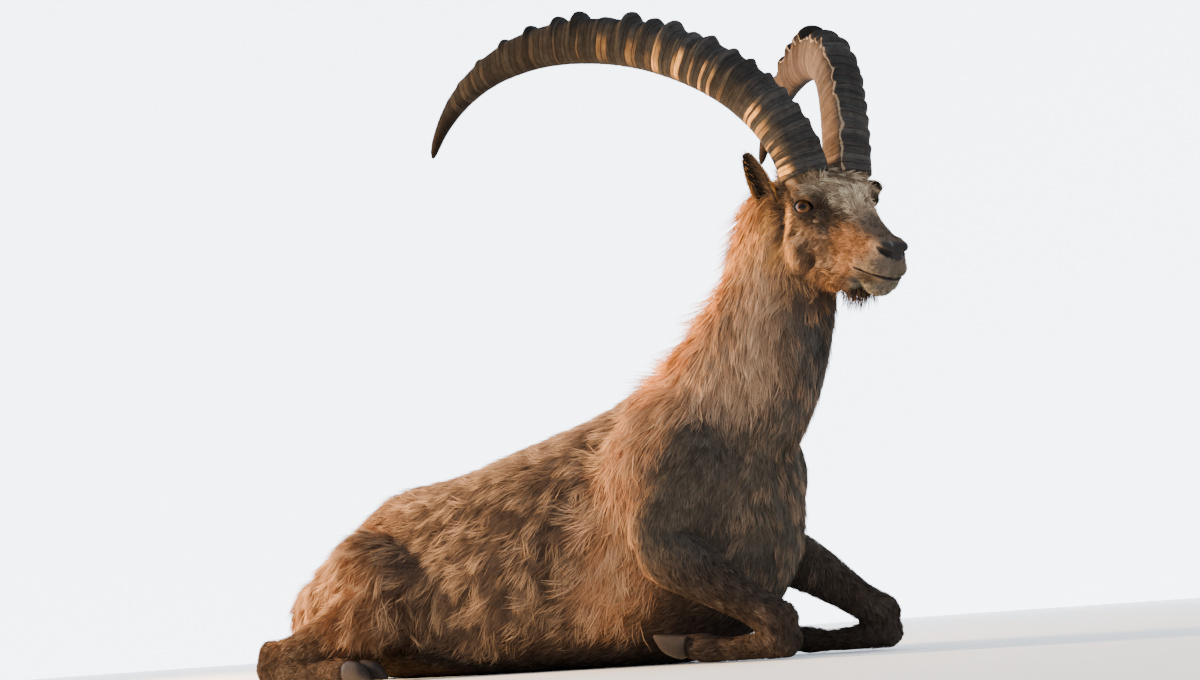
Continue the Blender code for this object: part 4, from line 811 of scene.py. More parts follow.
class Value:
    """A socket that adds a Math node for each sign it is used with."""

    def __init__(self, nodes, socket):
        self.nodes, self.socket = nodes, socket

    def math(self, operation, *values, clamp=False):
        return self.nodes.add("Math", {"operation": operation, "use_clamp": clamp}, *values)

    def __add__(self, other):
        return self.math("ADD", self, other)

    def __sub__(self, other):
        return self.math("SUBTRACT", self, other)

    def __rsub__(self, other):
        return self.math("SUBTRACT", other, self)

    def __mul__(self, other):
        return self.math("MULTIPLY", self, other)

    def __pow__(self, other):
        return self.math("POWER", self, other)

    __radd__ = __add__
    __rmul__ = __mul__

    def clamped(self):
        return self.math("ADD", self, 0.0, clamp=True)

    def between(self, low, high):
        """0 below low, 1 above high, eased between them."""
        settings = {"interpolation_type": "SMOOTHSTEP"}
        return self.nodes.add("MapRange", settings, self, low, high, 0.0, 1.0)


class Nodes:
    """The node tree of one material, with its Principled shader."""

    def __init__(self, name, **constants):
        self.material = bpy.data.materials.new(name)
        self.material.use_nodes = True
        self.tree = self.material.node_tree
        self.shader = self.tree.nodes["Principled BSDF"]
        for key, value in constants.items():
            self.shader.inputs[key.replace("_", " ")].default_value = value

    def add(self, kind, settings=None, *values, out=0, **named):
        """A node of the type, its settings set first, then the values or links of its sockets."""
        node = self.tree.nodes.new("ShaderNode" + kind)
        for key, value in (settings or {}).items():
            setattr(node, key, value)
        sockets = list(enumerate(values)) + [(key.replace("_", " "), value) for key, value in named.items()]
        for key, value in sockets:
            self.feed(node.inputs[key], value)
        return Value(self, node.outputs[out])

    def feed(self, socket, value):
        if isinstance(value, Value):
            self.tree.links.new(value.socket, socket)
        elif hasattr(socket.default_value, "__len__") and len(socket.default_value) == 4:
            socket.default_value = (*value[:3], 1.0)
        else:
            socket.default_value = value

    def attribute(self, name, out="Fac"):
        return self.add("Attribute", {"attribute_name": name}, out=out)

    def place(self):
        return self.add("TexCoord", out="Object")

    def parts(self, vector):
        node = self.tree.nodes.new("ShaderNodeSeparateXYZ")
        self.feed(node.inputs[0], vector)
        return [Value(self, output) for output in node.outputs]

    def vector(self, x, y, z):
        return self.add("CombineXYZ", None, x, y, z)

    def noise(self, where, scale, detail=2.0, roughness=0.5):
        return self.add("TexNoise", None, Vector=where, Scale=scale, Detail=detail, Roughness=roughness)

    def mix(self, factor, first, second, blend="MIX"):
        """Mixes two colours."""
        node = self.tree.nodes.new("ShaderNodeMix")
        node.data_type = "RGBA"
        node.blend_type = blend
        node.clamp_factor = True
        self.feed(node.inputs[0], factor)
        self.feed(node.inputs[6], first)
        self.feed(node.inputs[7], second)
        return Value(self, node.outputs[2])

    def shade(self, tint, strength):
        """Brightens or darkens a colour by a value round 1."""
        return self.mix(1.0, tint, self.vector(strength, strength, strength), "MULTIPLY")

    def bump(self, height, distance, strength=1.0):
        return self.add("Bump", None, Strength=strength, Distance=distance, Height=height, out="Normal")

    def set(self, **inputs):
        for key, value in inputs.items():
            self.feed(self.shader.inputs[key.replace("_", " ")], value)
        return self.material


def skin_material():
    """Under the coat: its colours with the grain of short flat hair, and bare leather on the nose."""
    nodes = Nodes("ibex_skin", Specular_IOR_Level=0.06)
    where = nodes.place()
    tint = nodes.attribute("tint", out="Color")
    bare = nodes.attribute("bare")
    lie = nodes.attribute("grain", out="Vector")
    fine = nodes.noise(lie, 1.0, 3.0, 0.6)
    patchy = nodes.noise(where, 45.0, 3.0, 0.6)
    pores = nodes.add("TexVoronoi", {"feature": "DISTANCE_TO_EDGE"}, Vector=where, Scale=620.0)
    creases = nodes.noise(where, 240.0, 3.0, 0.6)
    colour_now = nodes.shade(tint, patchy * 0.5 + fine * 0.5 + 0.5)
    leather = pores.between(0.0, 0.22) * 0.75 + creases * 0.25
    height = nodes.add("Mix", {"data_type": "FLOAT"}, bare, fine, leather)
    rough = 1 - bare * 0.55
    return nodes.set(Base_Color=colour_now, Roughness=rough, Normal=nodes.bump(height, 0.0007, 0.8))


def coat_material():
    """Hair tufts: the tuft's own colour, streaked along its length."""
    nodes = Nodes("ibex_coat", Roughness=0.9, Specular_IOR_Level=0.0)
    tint = nodes.attribute("tint", out="Color")
    strand = nodes.attribute("strand", out="Vector")
    streaks = nodes.noise(strand, 1.0, 2.0, 0.6)
    return nodes.set(
        Base_Color=nodes.shade(tint, streaks * 1.1 + 0.45), Normal=nodes.bump(streaks, 0.0006, 0.7)
    )


HORN_GROOVE_DARK = (0.016, 0.011, 0.008)        # darker colour laid into the grooves between the rings


def horn_material(horn):
    """Horn: coloured growth layers with painted sheen on worn streaks, darker grooves between the rings,
    rings across it, fibres along it, worn places and a pale uneven edge.
    """
    nodes = Nodes("ibex_horn", Specular_IOR_Level=0.05)
    # The edge attribute's third part marks the worn streaks, whose colour carries painted sheen.
    beside, ahead, worn = nodes.parts(nodes.attribute("edge", out="Vector"))
    where = nodes.place()
    tint = nodes.attribute("tint", out="Color")
    along, around, relief = nodes.parts(nodes.attribute("growth", out="Vector"))
    wobble = nodes.noise(where, 22.0, 3.0, 0.6)
    lines = nodes.noise(nodes.vector(along * 260.0 + wobble * 5.0, around * 2.2, 0.0), 1.0, 5.0, 0.8)
    fibres = nodes.noise(nodes.vector(along * 14.0, around * 90.0, wobble), 1.0, 3.0, 0.6)
    mottle = nodes.noise(where, 60.0, 4.0, 0.65)
    groove_dark = 1 - relief.between(0.05, 0.45)
    shade_now = lines * 1.2 + fibres * 0.4 + mottle * 0.7 - 0.15
    layered = nodes.shade(tint, shade_now.between(0.0, 1.8) * 1.8)
    tinted = nodes.mix(groove_dark * 0.6, layered, HORN_GROOVE_DARK)
    reach = mottle.between(0.30, 0.75) * 0.075 + 0.020
    keel = (reach - (beside * beside) ** 0.5).between(0.0, 0.03) * ahead.between(0.5, 0.8)
    keel = keel * (1 - along.between(KEEL_END * HORN_LENGTH, HORN_LENGTH))
    tinted = nodes.mix(keel * relief.between(0.15, 0.5), tinted, horn.keel)
    rough = 0.92 - worn * lines * 0.55 + mottle * 0.08
    height = lines * 0.6 + fibres * 0.2 + mottle * 0.3
    return nodes.set(Base_Color=tinted, Roughness=rough, Normal=nodes.bump(height, 0.0014, 0.9))


LASH_SHADOW = 0.6                # how far the upper lashes darken the eye


def eye_material(eye):
    """A brown iris with fine fibres and a level pupil, under a wet cornea, in the shade of the lashes."""
    nodes = Nodes("ibex_eye", Roughness=0.06, Coat_Weight=0.12, Coat_Roughness=0.02, Specular_IOR_Level=0.08)
    u, v, _ = nodes.parts(nodes.attribute("gaze", out="Vector"))
    radius = (u * u + v * v) ** 0.5
    fibres = nodes.noise(nodes.vector(u * 9.0, v * 9.0, radius * 2.0), 2.2, 5.0, 0.75)
    core = nodes.mix(radius.between(0.30, 0.72), eye.iris_core, eye.iris)
    lit = nodes.shade(core, fibres * 1.6 + 0.25)
    limbus = radius.between(0.72, 0.86)
    pupil = ((u * u) * 2.6 + (v * v) * 9.0) ** 0.5
    open_pupil = 1 - pupil.between(0.78, 1.0)
    dark = nodes.mix(limbus, lit, eye.pupil)
    shaded = nodes.shade(nodes.mix(open_pupil, dark, eye.pupil), 1 - v.between(-0.3, 0.5) * LASH_SHADOW)
    return nodes.set(Base_Color=shaded)


def lid_material():
    """Bare, slightly moist skin of the lids."""
    nodes = Nodes("ibex_lid", Specular_IOR_Level=0.04)
    where = nodes.place()
    mottle = nodes.noise(where, 300.0, 3.0, 0.6)
    tint = nodes.attribute("tint", out="Color")
    return nodes.set(
        Base_Color=nodes.shade(tint, mottle * 0.8 + 0.6), Roughness=0.5 - mottle * 0.15,
        Normal=nodes.bump(mottle, 0.0004, 0.7),
    )


def hoof_material(hoof):
    """Dark hoof wall with growth lines round it and a worn lower edge."""
    nodes = Nodes("ibex_hoof", Specular_IOR_Level=0.12)
    where = nodes.place()
    along, around, low = nodes.parts(nodes.attribute("growth", out="Vector"))
    lines = nodes.noise(nodes.vector(along * 900.0, around, 0.0), 1.0, 3.0, 0.6)
    scuffs = nodes.noise(where, 140.0, 4.0, 0.7)
    wear = low.between(0.3, 1.0) * 0.6 + scuffs.between(0.55, 0.75) * 0.5
    tint = nodes.mix(wear.clamped(), hoof.wall, hoof.worn)
    return nodes.set(
        Base_Color=nodes.shade(tint, lines * 0.8 + 0.6), Roughness=0.45 + scuffs * 0.25,
        Normal=nodes.bump(lines * 0.6 + scuffs * 0.4, 0.0005, 0.7),
    )


def floor_material(stage):
    nodes = Nodes("studio_floor", Specular_IOR_Level=0.2)
    grain = nodes.noise(nodes.place(), 3.0, 4.0, 0.6)
    return nodes.set(Base_Color=nodes.shade(stage.floor, grain * 0.06 + 0.97), Roughness=0.75)


def once(name, make, *values):
    """The material of that name, made on its first use."""
    return bpy.data.materials.get(name) or make(*values)


# ---------------------------------------------------------------- skin

SKIN_VOXEL, QUICK_VOXEL, FLESH_VOXEL = 0.0025, 0.0034, 0.009
SKIN_TRIANGLES = 176000
FACE_MIDDLE = (0.03, 0, -0.03)   # in the head's axes
FINE_HEAD = (0.10, 0.20)         # off the face's middle: kept whole within, thinned past
FLOOR_CLEARANCE = 0.0010
FLESH_NODES = ("head", "neck", "torso", "tail") + tuple(
    f"{part}_{label}"
    for part in ("shoulder", "forearm", "fore_cannon", "thigh", "shank", "hind_cannon") for label in SIDES
)


def upright_ring(x, top, bottom, half_width, widest, **fullness):
    """A ring square to the x axis, widest at a share of its height."""
    middle = bottom + widest * (top - bottom)
    centre = Vector((x, 0, middle))
    side, up = Vector((0, 1, 0)), Vector((0, 0, 1))
    return section(centre, side, up, half_width, top - middle, middle - bottom, **fullness)


def trunk_form():
    rows = spline(TRUNK, (len(TRUNK) - 1) * 3 + 1)
    return loft("trunk", [upright_ring(*row, TRUNK_BULGE, count=64, crown=1.12, keel=0.62) for row in rows])


def flesh_forms():
    forms = [trunk_form(), limb("neck form", NECK, up=Vector((-1, 0, 0)))]
    for side in SIDES.values():
        forms += [
            limb("blade", sided(BLADE, side)),
            limb("upper arm", sided(UPPER_ARM, side)),
            limb("thigh form", sided(THIGH, side)),
        ]
        forms += [ellipsoid("muscle", outward(centre, side), radii) for centre, radii in (TRICEPS, HAUNCH)]
    return forms


def head_forms():
    rows = spline(SKULL, (len(SKULL) - 1) * 4 + 1)
    rings = [upright_ring(*row, count=56, crown=0.85, keel=0.95) for row in rows]
    forms = [loft("skull", rings), ellipsoid("chin", *CHIN)]
    for side in SIDES.values():
        forms += [ellipsoid("swelling", outward(centre, side), radii) for centre, radii in SWELLINGS]
    return [placed(form) for form in forms]


def leg_forms():
    tables = (FOREARM, FORE_CANNON, SHANK, HIND_CANNON)
    legs = [limb("leg", sided(table, side)) for side in SIDES.values() for table in tables]
    return [*legs, limb("tail form", TAIL)]


def off_the_face(points):
    """0 on the face and near it, 1 on the body."""
    far = np.linalg.norm(points - np.array(in_head(FACE_MIDDLE)), axis=1)
    return smoothstep(far, *FINE_HEAD)


def thin_body(obj, triangles):
    """Thins the skin away from the head down to the number of triangles."""
    points, _, corners = arrays_of(obj.data)
    loose = off_the_face(points)
    group = obj.vertex_groups.new(name="thin")
    for step in np.unique(np.round(loose, 1)):
        chosen = np.flatnonzero(np.round(loose, 1) == step)
        group.add(chosen.tolist(), float(step), "REPLACE")
    share_left = min(1.0, triangles / len(corners))
    modify(obj, "DECIMATE", ratio=share_left, vertex_group="thin", vertex_group_factor=1.0)
    obj.vertex_groups.clear()


def relief_at(points):
    """Height of the head's folds over the skin."""
    head = head_points_of(points)
    height = np.zeros(len(points))
    for place, radii, rise in RELIEF:
        for side in SIDES.values():
            gap = (head - np.array(outward(place, side))) / np.array(radii)
            height += rise * np.exp(-(gap ** 2).sum(axis=1)) / (1 if place[1] else len(SIDES))
    return height


def sink(obj, coat):
    """Moves the skin in by the depth of its coat, and keeps it off the floor."""
    points, normals, _ = arrays_of(obj.data)
    depth = hair_at(points, coat)["depth"] - relief_at(points)
    points = points - normals * depth[:, None]
    points[:, 2] = np.maximum(points[:, 2], FLOOR_CLEARANCE)
    obj.data.vertices.foreach_set("co", points.ravel())
    obj.data.update()


def eye_axes(side):
    """The way an eye looks, and its opening's own length and height, in the head's axes."""
    look = outward(GAZE, side).normalized()
    along = Vector((1, 0, math.tan(LID_TILT)))
    along = (along - look * along.dot(look)).normalized()
    lift = look.cross(along).normalized() * -side
    return look, along, lift


def lid_outline(side):
    """Points round the opening between the lids, from the eye's centre."""
    _, along, lift = eye_axes(side)
    half_length, half_height = LID_SLIT
    outline = []
    for i in range(LID_CORNERS):
        angle = 2 * math.pi * i / LID_CORNERS
        pinch = abs(math.sin(angle)) ** LID_PINCH * math.copysign(1, math.sin(angle))
        outline.append(along * (half_length * math.cos(angle)) + lift * (half_height * pinch + LID_RAISE))
    return outline


def mouth_cutter(skin):
    """A thin tube laid along the skin from one corner of the mouth round the front to the other."""
    (back, back_z), (_, front_z) = MOUTH_CORNER, MOUTH_FRONT
    depth, width = MOUTH_GROOVE
    stations = []
    for i in range(-MOUTH_STEPS, MOUTH_STEPS + 1):
        round_by = abs(i) / MOUTH_STEPS
        start = Vector((back + MOUTH_PIVOT, 0, front_z + (back_z - front_z) * round_by))
        turn = math.radians(MOUTH_TURN * round_by - MOUTH_DIP * (1 - round_by)) * (1 if i > 0 else -1)
        away = Vector((math.cos(turn), math.sin(turn), 0)) if i else Vector((1, 0, 0))
        if round_by > MOUTH_SIDE:
            start.x -= MOUTH_PIVOT * (round_by - MOUTH_SIDE) / (1 - MOUTH_SIDE)
            away = Vector((0, math.copysign(1, i), 0))
        hit = skin.ray_cast(in_head(start), HEAD_AXES @ away)[0]
        fade = MOUTH_CORNER_FADE if round_by == 1 else 1.0
        stations.append((*hit, depth * fade, width * fade))
    return limb("mouth line", stations, up=HEAD_AXES.col[2], count=8, steps=1)


def open_face(skin):
    """Cuts the lids, nostrils and mouth."""
    cutters = []
    for side in SIDES.values():
        look = eye_axes(side)[0]
        centre = outward(EYE_CENTRE, side)
        outline = lid_outline(side)
        rings = [[centre + look * far + point * wide for point in outline] for far, wide in LID_CUT]
        cutters.append(placed(loft("lid opening", rings)))
        cutters.append(placed(limb("nostril", sided(NOSTRIL, side), count=16, steps=4)))
    points, _, corners = arrays_of(skin.data)
    cutters.append(mouth_cutter(BVHTree.FromPolygons(points.tolist(), corners.tolist())))
    cutter = join("openings", cutters)
    modify(skin, "BOOLEAN", operation="DIFFERENCE", object=cutter, solver="EXACT")
    drop(cutter)


def bare_at(head_points):
    """How bare the skin is, from 0 to 1, at points in the head's axes: the nose pad and the lips' edges."""
    x, y, z = head_points.T
    pad = smoothstep(x, 0.136, 0.144) * (1 - smoothstep(np.abs(y), 0.021, 0.025))
    low = -0.047 + 0.42 * np.abs(y) + 0.0012 * np.sin(y * 900)
    pad *= smoothstep(z, low, low + 0.005) * (1 - smoothstep(z, -0.020, -0.012))
    slope = (MOUTH_FRONT[1] - MOUTH_CORNER[1]) / (MOUTH_FRONT[0] - MOUTH_CORNER[0])
    line = np.abs(z - (MOUTH_CORNER[1] + slope * (x - MOUTH_CORNER[0])))
    lips = (1 - smoothstep(line, 0.0016, 0.0034)) * smoothstep(x, 0.088, 0.096)
    return np.maximum(pad, lips)


def set_point_colours(mesh, name, values):
    attribute = mesh.attributes.new(name, "FLOAT_COLOR", "POINT")
    attribute.data.foreach_set("color", np.column_stack([values, np.ones(len(values))]).ravel())


def set_point_vectors(mesh, name, values):
    attribute = mesh.attributes.new(name, "FLOAT_VECTOR", "POINT")
    attribute.data.foreach_set("vector", np.asarray(values).ravel())


def set_point_values(mesh, name, values):
    attribute = mesh.attributes.new(name, "FLOAT", "POINT")
    attribute.data.foreach_set("value", values)


NOSE_PAD = np.array((0.024, 0.021, 0.020))       # colour of the bare nose
SKIN_BODY, SKIN_TIP = 0.8, 0.15          # how much of the hair's middle and tip colours the skin shows
GRAIN_ACROSS, GRAIN_ALONG = 900, 110     # fineness of the hair's grain, in lines to a metre


def tint_skin(obj, coat):
    points, _, _ = arrays_of(obj.data)
    hair = hair_at(points, coat)
    bare = bare_at(head_points_of(points))
    tint = hair["body"] * SKIN_BODY + hair["tip"] * hair["pale"][:, None] * SKIN_TIP
    tint = tint * (1 - bare[:, None]) + NOSE_PAD * bare[:, None]
    lie = unit(hair["lie"])
    along = lie * (points * lie).sum(axis=1, keepdims=True)
    set_point_colours(obj.data, "tint", tint)
    set_point_values(obj.data, "bare", bare)
    set_point_vectors(obj.data, "grain", (points - along) * GRAIN_ACROSS + along * GRAIN_ALONG)


def unwrap(obj):
    """Unfolds the piece by its own shape into a UV map named OFBake."""
    pick(obj)
    obj.data.uv_layers.new(name="OFBake")
    bpy.ops.object.mode_set(mode="EDIT")
    bpy.ops.mesh.select_all(action="SELECT")
    bpy.ops.uv.smart_project(angle_limit=math.radians(66), island_margin=0.001)
    bpy.ops.object.mode_set(mode="OBJECT")


def build_skin(coat):
    flesh = melt("flesh", flesh_forms(), FLESH_VOXEL, 6)
    voxel = SKIN_VOXEL
    skin = melt("skin", [flesh, *head_forms(), *leg_forms()], voxel, 4)
    thin_body(skin, SKIN_TRIANGLES)
    sink(skin, coat)
    open_face(skin)
    modify(skin, "TRIANGULATE")
    unwrap(skin)
    tint_skin(skin, coat)
    return finish_piece(skin, once("ibex_skin", skin_material), FLESH_NODES, angle=None)


# ---------------------------------------------------------------- coat

COAT_SEED = 23
ROOT_DEPTH = 0.0012              # how far a tuft starts below the skin
TUFT_THICKNESS = 0.34            # as a share of its width
TUFT_TAPER = {2: (0.80, 0.85), 3: (0.75, 1.00, 0.68)}   # width of each ring, as a share
PATCH = 0.003                    # size of a tuft's patch on the unwrapped skin
SOFTNESS = 0.42                  # how far a tuft is shaded as the skin below it
ROOT_SHADE, MIDDLE_SHADE = 0.32, 0.80
SWING = 0.9                      # how far a clump bends aside, as a share of its length and waviness
FACE_LENGTH, FACE_VARIETY = 0.0145, 2.2    # shorter hair than this differs more, by this factor
HEAD_BLEND, BODY_BLEND = 0.0022, 0.0100    # how far off a tuft may borrow its looks
PIECE_LIMIT = 199000             # triangles
LID_FREE, LID_FREE_ABOVE = 1.16, 1.42   # bare round the eye, as a share of the opening
HORN_FREE = 0.0270               # bare round the horn's axis at its seat
SQUARE_CM = 1e4                  # of them in a square metre
CLUMP_CELL = 0.02                # cells in which roots are counted
CLUMP_CROWD, CLUMP_AREA = 3.0, 3.0       # leaders for each clump, and its area over its size squared
SWIRL_SIZE, SWIRL, CLUMP_SWIRL, OWN_SWIRL = 0.045, 1.3, 0.9, 0.10    # turns off the lie, in radians
REACH = (0.72, 0.36, 0.20)       # least share of the length, what its own and its clump's luck add
WIDTH = (0.75, 0.5)              # least share of the width, and what luck adds
FALL_SPREAD = 0.10               # how far hanging tufts differ in their way down
TINT_SPREAD, CLUMP_TINT_SPREAD, TINT_LIMITS = 0.55, 2.2, (0.45, 1.9)
FEWEST_TUFTS = 4
BARE_FROM, FLOOR_FREE = 0.35, 0.004      # bareness and height over the floor that keep tufts off
LID_REACH, NOSTRIL_FREE = 0.035, 0.0068  # how far from the eye's centre, and from the nostril's middle line

Surface = namedtuple("Surface", "points normals corners map tree")


def surface_of(obj):
    """A finished piece's surface in the trunk's axes, with its unwrapped map and a search tree."""
    mesh = obj.data
    points, normals, corners = arrays_of(mesh)
    points = points - np.array(SHIFT)
    loops = np.empty(len(corners) * 3, int)
    mesh.loop_triangles.foreach_get("loops", loops)
    flat = np.empty(len(mesh.loops) * 2)
    mesh.uv_layers["OFBake"].data.foreach_get("uv", flat)
    unfolded = flat.reshape(-1, 2)[loops].reshape(-1, 3, 2)
    tree = BVHTree.FromPolygons(points.tolist(), corners.tolist())
    return Surface(points, normals, corners, unfolded, tree)


def triangle_areas(surface):
    corners = surface.points[surface.corners]
    return np.linalg.norm(np.cross(corners[:, 1] - corners[:, 0], corners[:, 2] - corners[:, 0]), axis=1) / 2


def spread(surface, per_area, draw):
    """Roots spread over the surface, so many for each triangle: places, normals and map places."""
    total = np.cumsum(per_area)
    count = int(total[-1])
    picks = np.searchsorted(total, (np.arange(count) + draw.random(count)) * total[-1] / count)
    picks = np.minimum(picks, len(per_area) - 1)
    first, second = draw.random(count), draw.random(count)
    folded = first + second > 1
    first[folded], second[folded] = 1 - first[folded], 1 - second[folded]
    shares = np.column_stack([1 - first - second, first, second])[..., None]
    corners = surface.corners[picks]
    places = (surface.points[corners] * shares).sum(axis=1)
    normals = unit((surface.normals[corners] * shares).sum(axis=1))
    return places, normals, (surface.map[picks] * shares).sum(axis=1)


def turned(vectors, normals, angles):
    """The vectors laid flat on the surface and turned about its normals."""
    flat = unit(vectors - normals * (vectors * normals).sum(axis=1, keepdims=True))
    aside = np.cross(normals, flat)
    return flat * np.cos(angles)[:, None] + aside * np.sin(angles)[:, None]


def clumps_of(places, sizes, draw):
    """For each root, which root leads its clump."""
    order = draw.permutation(len(places))
    chance = np.minimum(1.0, CLUMP_CROWD / np.maximum(CLUMP_CROWD, local_count(places, sizes)))
    leaders = order[draw.random(len(order)) < chance[order]]
    tree = KDTree(len(leaders))
    for leader in leaders:
        tree.insert(places[leader], int(leader))
    tree.balance()
    return np.array([tree.find(place)[1] for place in places])


def local_count(places, sizes):
    """About how many roots share one clump at each root."""
    keys = np.floor(places / CLUMP_CELL).astype(int)
    _, inverse, counts = np.unique(keys, axis=0, return_inverse=True, return_counts=True)
    return counts[inverse.ravel()] * (sizes / CLUMP_CELL) ** 2 * CLUMP_AREA


def grounded(tree, points):
    """The nearest places on the surface and its normals there."""
    found = [tree.find_nearest(point)[:2] for point in points.tolist()]
    return np.array([hit[0] for hit in found]), np.array([hit[1] for hit in found])


def tuft_courses(surface, roots, normals, hair, leader, luck, clump_luck, draw, coat):
    """How wide each tuft is, and the middle and the way up of its rings, from the root to the tip."""
    steps, count = int(hair["steps"][0]), len(roots)
    swirl = ripple(roots, SWIRL_SIZE, COAT_SEED) * SWIRL + (draw.random(count)[leader] - 0.5) * CLUMP_SWIRL
    swirl = swirl * hair["wave"] + draw.normal(0, OWN_SWIRL, count)
    lie = turned(hair["lie"], normals, swirl)
    reach = hair["length"] * coat.length * (REACH[0] + REACH[1] * luck + REACH[2] * clump_luck)
    tip = roots + lie * reach[:, None]
    drawn = (hair["pull"] * coat.clumping)[:, None] * (tip[leader] + lie * 0.25 * reach[:, None] - tip)
    width = hair["width"] * (WIDTH[0] + WIDTH[1] * draw.random(count))
    lift = hair["lift"] * (0.4 + 1.2 * draw.random(count) * (0.5 + clump_luck))
    swing = (draw.random(count)[leader] * 2 - 1 + draw.normal(0, 0.35, count)) * hair["wave"] * SWING
    bend = np.cross(normals, lie) * (swing * reach)[:, None]
    hanging = hair["kind"] == "beard"
    fall = HANG + draw.normal(0, FALL_SPREAD, (count, 3))
    rings, ups = [], []
    for k in range(steps + 1):
        s = k / steps
        spot = roots + lie * (reach * s)[:, None] + drawn * s ** 1.6 + bend * (s ** 2 - 0.4 * s)
        if k:
            ground, up = grounded(surface.tree, spot)
            centre = ground + up * (0.0003 + width * 0.3 + reach * lift * s ** 1.5)[:, None]
            drop_by = reach * s * (0.35 + 0.75 * luck)
            centre[hanging] = (roots + unit(fall) * drop_by[:, None] + drawn * s ** 2)[hanging]
        else:
            centre, up = roots - normals * ROOT_DEPTH, normals
        centre[:, 2] = np.maximum(centre[:, 2], FLOOR_CLEARANCE)
        rings.append(centre)
        ups.append(up)
    return width, rings, ups


def tufts(surface, roots, normals, unfolded, hair, draw, coat):
    """Points, colours and map places of tufts, all of the same number of steps."""
    steps, count = int(hair["steps"][0]), len(roots)
    leader = clumps_of(roots, hair["clump"], draw)
    luck, clump_luck = draw.random(count), draw.random(count)[leader]
    width, rings, ups = tuft_courses(surface, roots, normals, hair, leader, luck, clump_luck, draw, coat)
    points, shades, softened, strands, spots = [], [], [], [], []
    pale = smoothstep(clump_luck, 1 - hair["pale"] - 0.2, 1 - hair["pale"] + 0.2) * (0.45 + 0.55 * luck)
    variety = coat.variety * np.where(hair["length"] < FACE_LENGTH, FACE_VARIETY, 1.0)
    own = draw.normal(0, 1.0, count) * TINT_SPREAD + (draw.random(count)[leader] - 0.5) * CLUMP_TINT_SPREAD
    own = np.clip(1 + variety * own, *TINT_LIMITS)[:, None]
    for k in range(steps + 1):
        s = k / steps
        before, after = rings[max(k - 1, 0)], rings[min(k + 1, steps)]
        along = unit(after - before)
        up = unit(ups[k] - along * (ups[k] * along).sum(axis=1, keepdims=True))
        aside = np.cross(up, along)
        lower, upper = min(1.0, s * 2), max(0.0, s * 2 - 1)
        shade = ROOT_SHADE + (MIDDLE_SHADE - ROOT_SHADE) * lower + (1 - MIDDLE_SHADE) * upper
        mixed = (pale * max(0.0, s * 1.25 - 0.25))[:, None]
        tint = (hair["body"] * (1 - mixed) + hair["tip"] * mixed) * own * shade
        if k == steps:
            corners = [(rings[k], up, 0.5)]
        else:
            wide = (width * TUFT_TAPER[steps][k] / 2)[:, None]
            corners = [
                (rings[k] - aside * wide, up * 0.3 - aside, 0.0),
                (rings[k] + aside * wide, up * 0.3 + aside, 1.0),
                (rings[k] + up * wide * 2 * TUFT_THICKNESS, up, 0.5),
            ]
        for place, outer, u in corners:
            points.append(place)
            shades.append(tint)
            softened.append(unit(unit(outer) * (1 - SOFTNESS) + normals * SOFTNESS))
            strand = (luck * 91 + u * 3.2, np.full(count, s * 1.3) + luck * 17, clump_luck * 40)
            strands.append(np.column_stack(strand))
            spots.append(unfolded + np.array(((u - 0.5) * PATCH, (s - 0.5) * PATCH)))
    stack = [np.stack(values, axis=1) for values in (points, shades, softened, strands, spots)]
    return steps, stack


def tuft_faces(steps):
    """Corners and sizes of the faces of one tuft: a base, three-sided rings and a point."""
    corners, sizes = [0, 2, 1], [3]
    for k in range(steps - 1):
        for i in range(3):
            j = (i + 1) % 3
            corners += [3 * k + i, 3 * k + j, 3 * k + 3 + j, 3 * k + 3 + i]
            sizes.append(4)
    last = 3 * (steps - 1)
    for i in range(3):
        corners += [last + i, last + (i + 1) % 3, last + 3]
        sizes.append(3)
    return np.array(corners), np.array(sizes)


def coat_piece(name, bundles):
    """One mesh of many tufts, with its colours, strand places and map."""
    gathered = [[] for _ in range(5)]
    corners, sizes = [], []
    base = 0
    for steps, stack in bundles:
        count, each = stack[0].shape[:2]
        pattern, pattern_sizes = tuft_faces(steps)
        corners.append((np.arange(count)[:, None] * each + pattern[None] + base).ravel())
        sizes.append(np.tile(pattern_sizes, count))
        base += count * each
        for values, made in zip(stack, gathered):
            made.append(values.reshape(count * each, -1))
    points, shades, softened, strands, spots = map(np.vstack, gathered)
    corners, sizes = np.concatenate(corners), np.concatenate(sizes)
    triangles = int((sizes - 2).sum())
    if triangles > PIECE_LIMIT:
        raise RuntimeError(f"{name} has {triangles} triangles: split it or thin it")
    mesh = bpy.data.meshes.new(name)
    mesh.vertices.add(len(points))
    mesh.vertices.foreach_set("co", points.ravel())
    mesh.loops.add(len(corners))
    mesh.loops.foreach_set("vertex_index", corners)
    mesh.polygons.add(len(sizes))
    mesh.polygons.foreach_set("loop_start", np.concatenate([[0], np.cumsum(sizes)[:-1]]))
    mesh.polygons.foreach_set("loop_total", sizes)
    mesh.update(calc_edges=True)
    set_point_colours(mesh, "tint", np.clip(shades, 0, 1))
    set_point_vectors(mesh, "strand", strands)
    layer = mesh.uv_layers.new(name="OFBake")
    layer.data.foreach_set("uv", spots[corners].ravel())
    mesh.polygons.foreach_set("use_smooth", np.ones(len(sizes), bool))
    mesh.normals_split_custom_set_from_vertices(softened.tolist())
    return add_object(name, mesh)


def blending(points):
    """How far off each tuft may borrow its looks: little on the head, more on the body."""
    return HEAD_BLEND + (BODY_BLEND - HEAD_BLEND) * off_the_face(points)


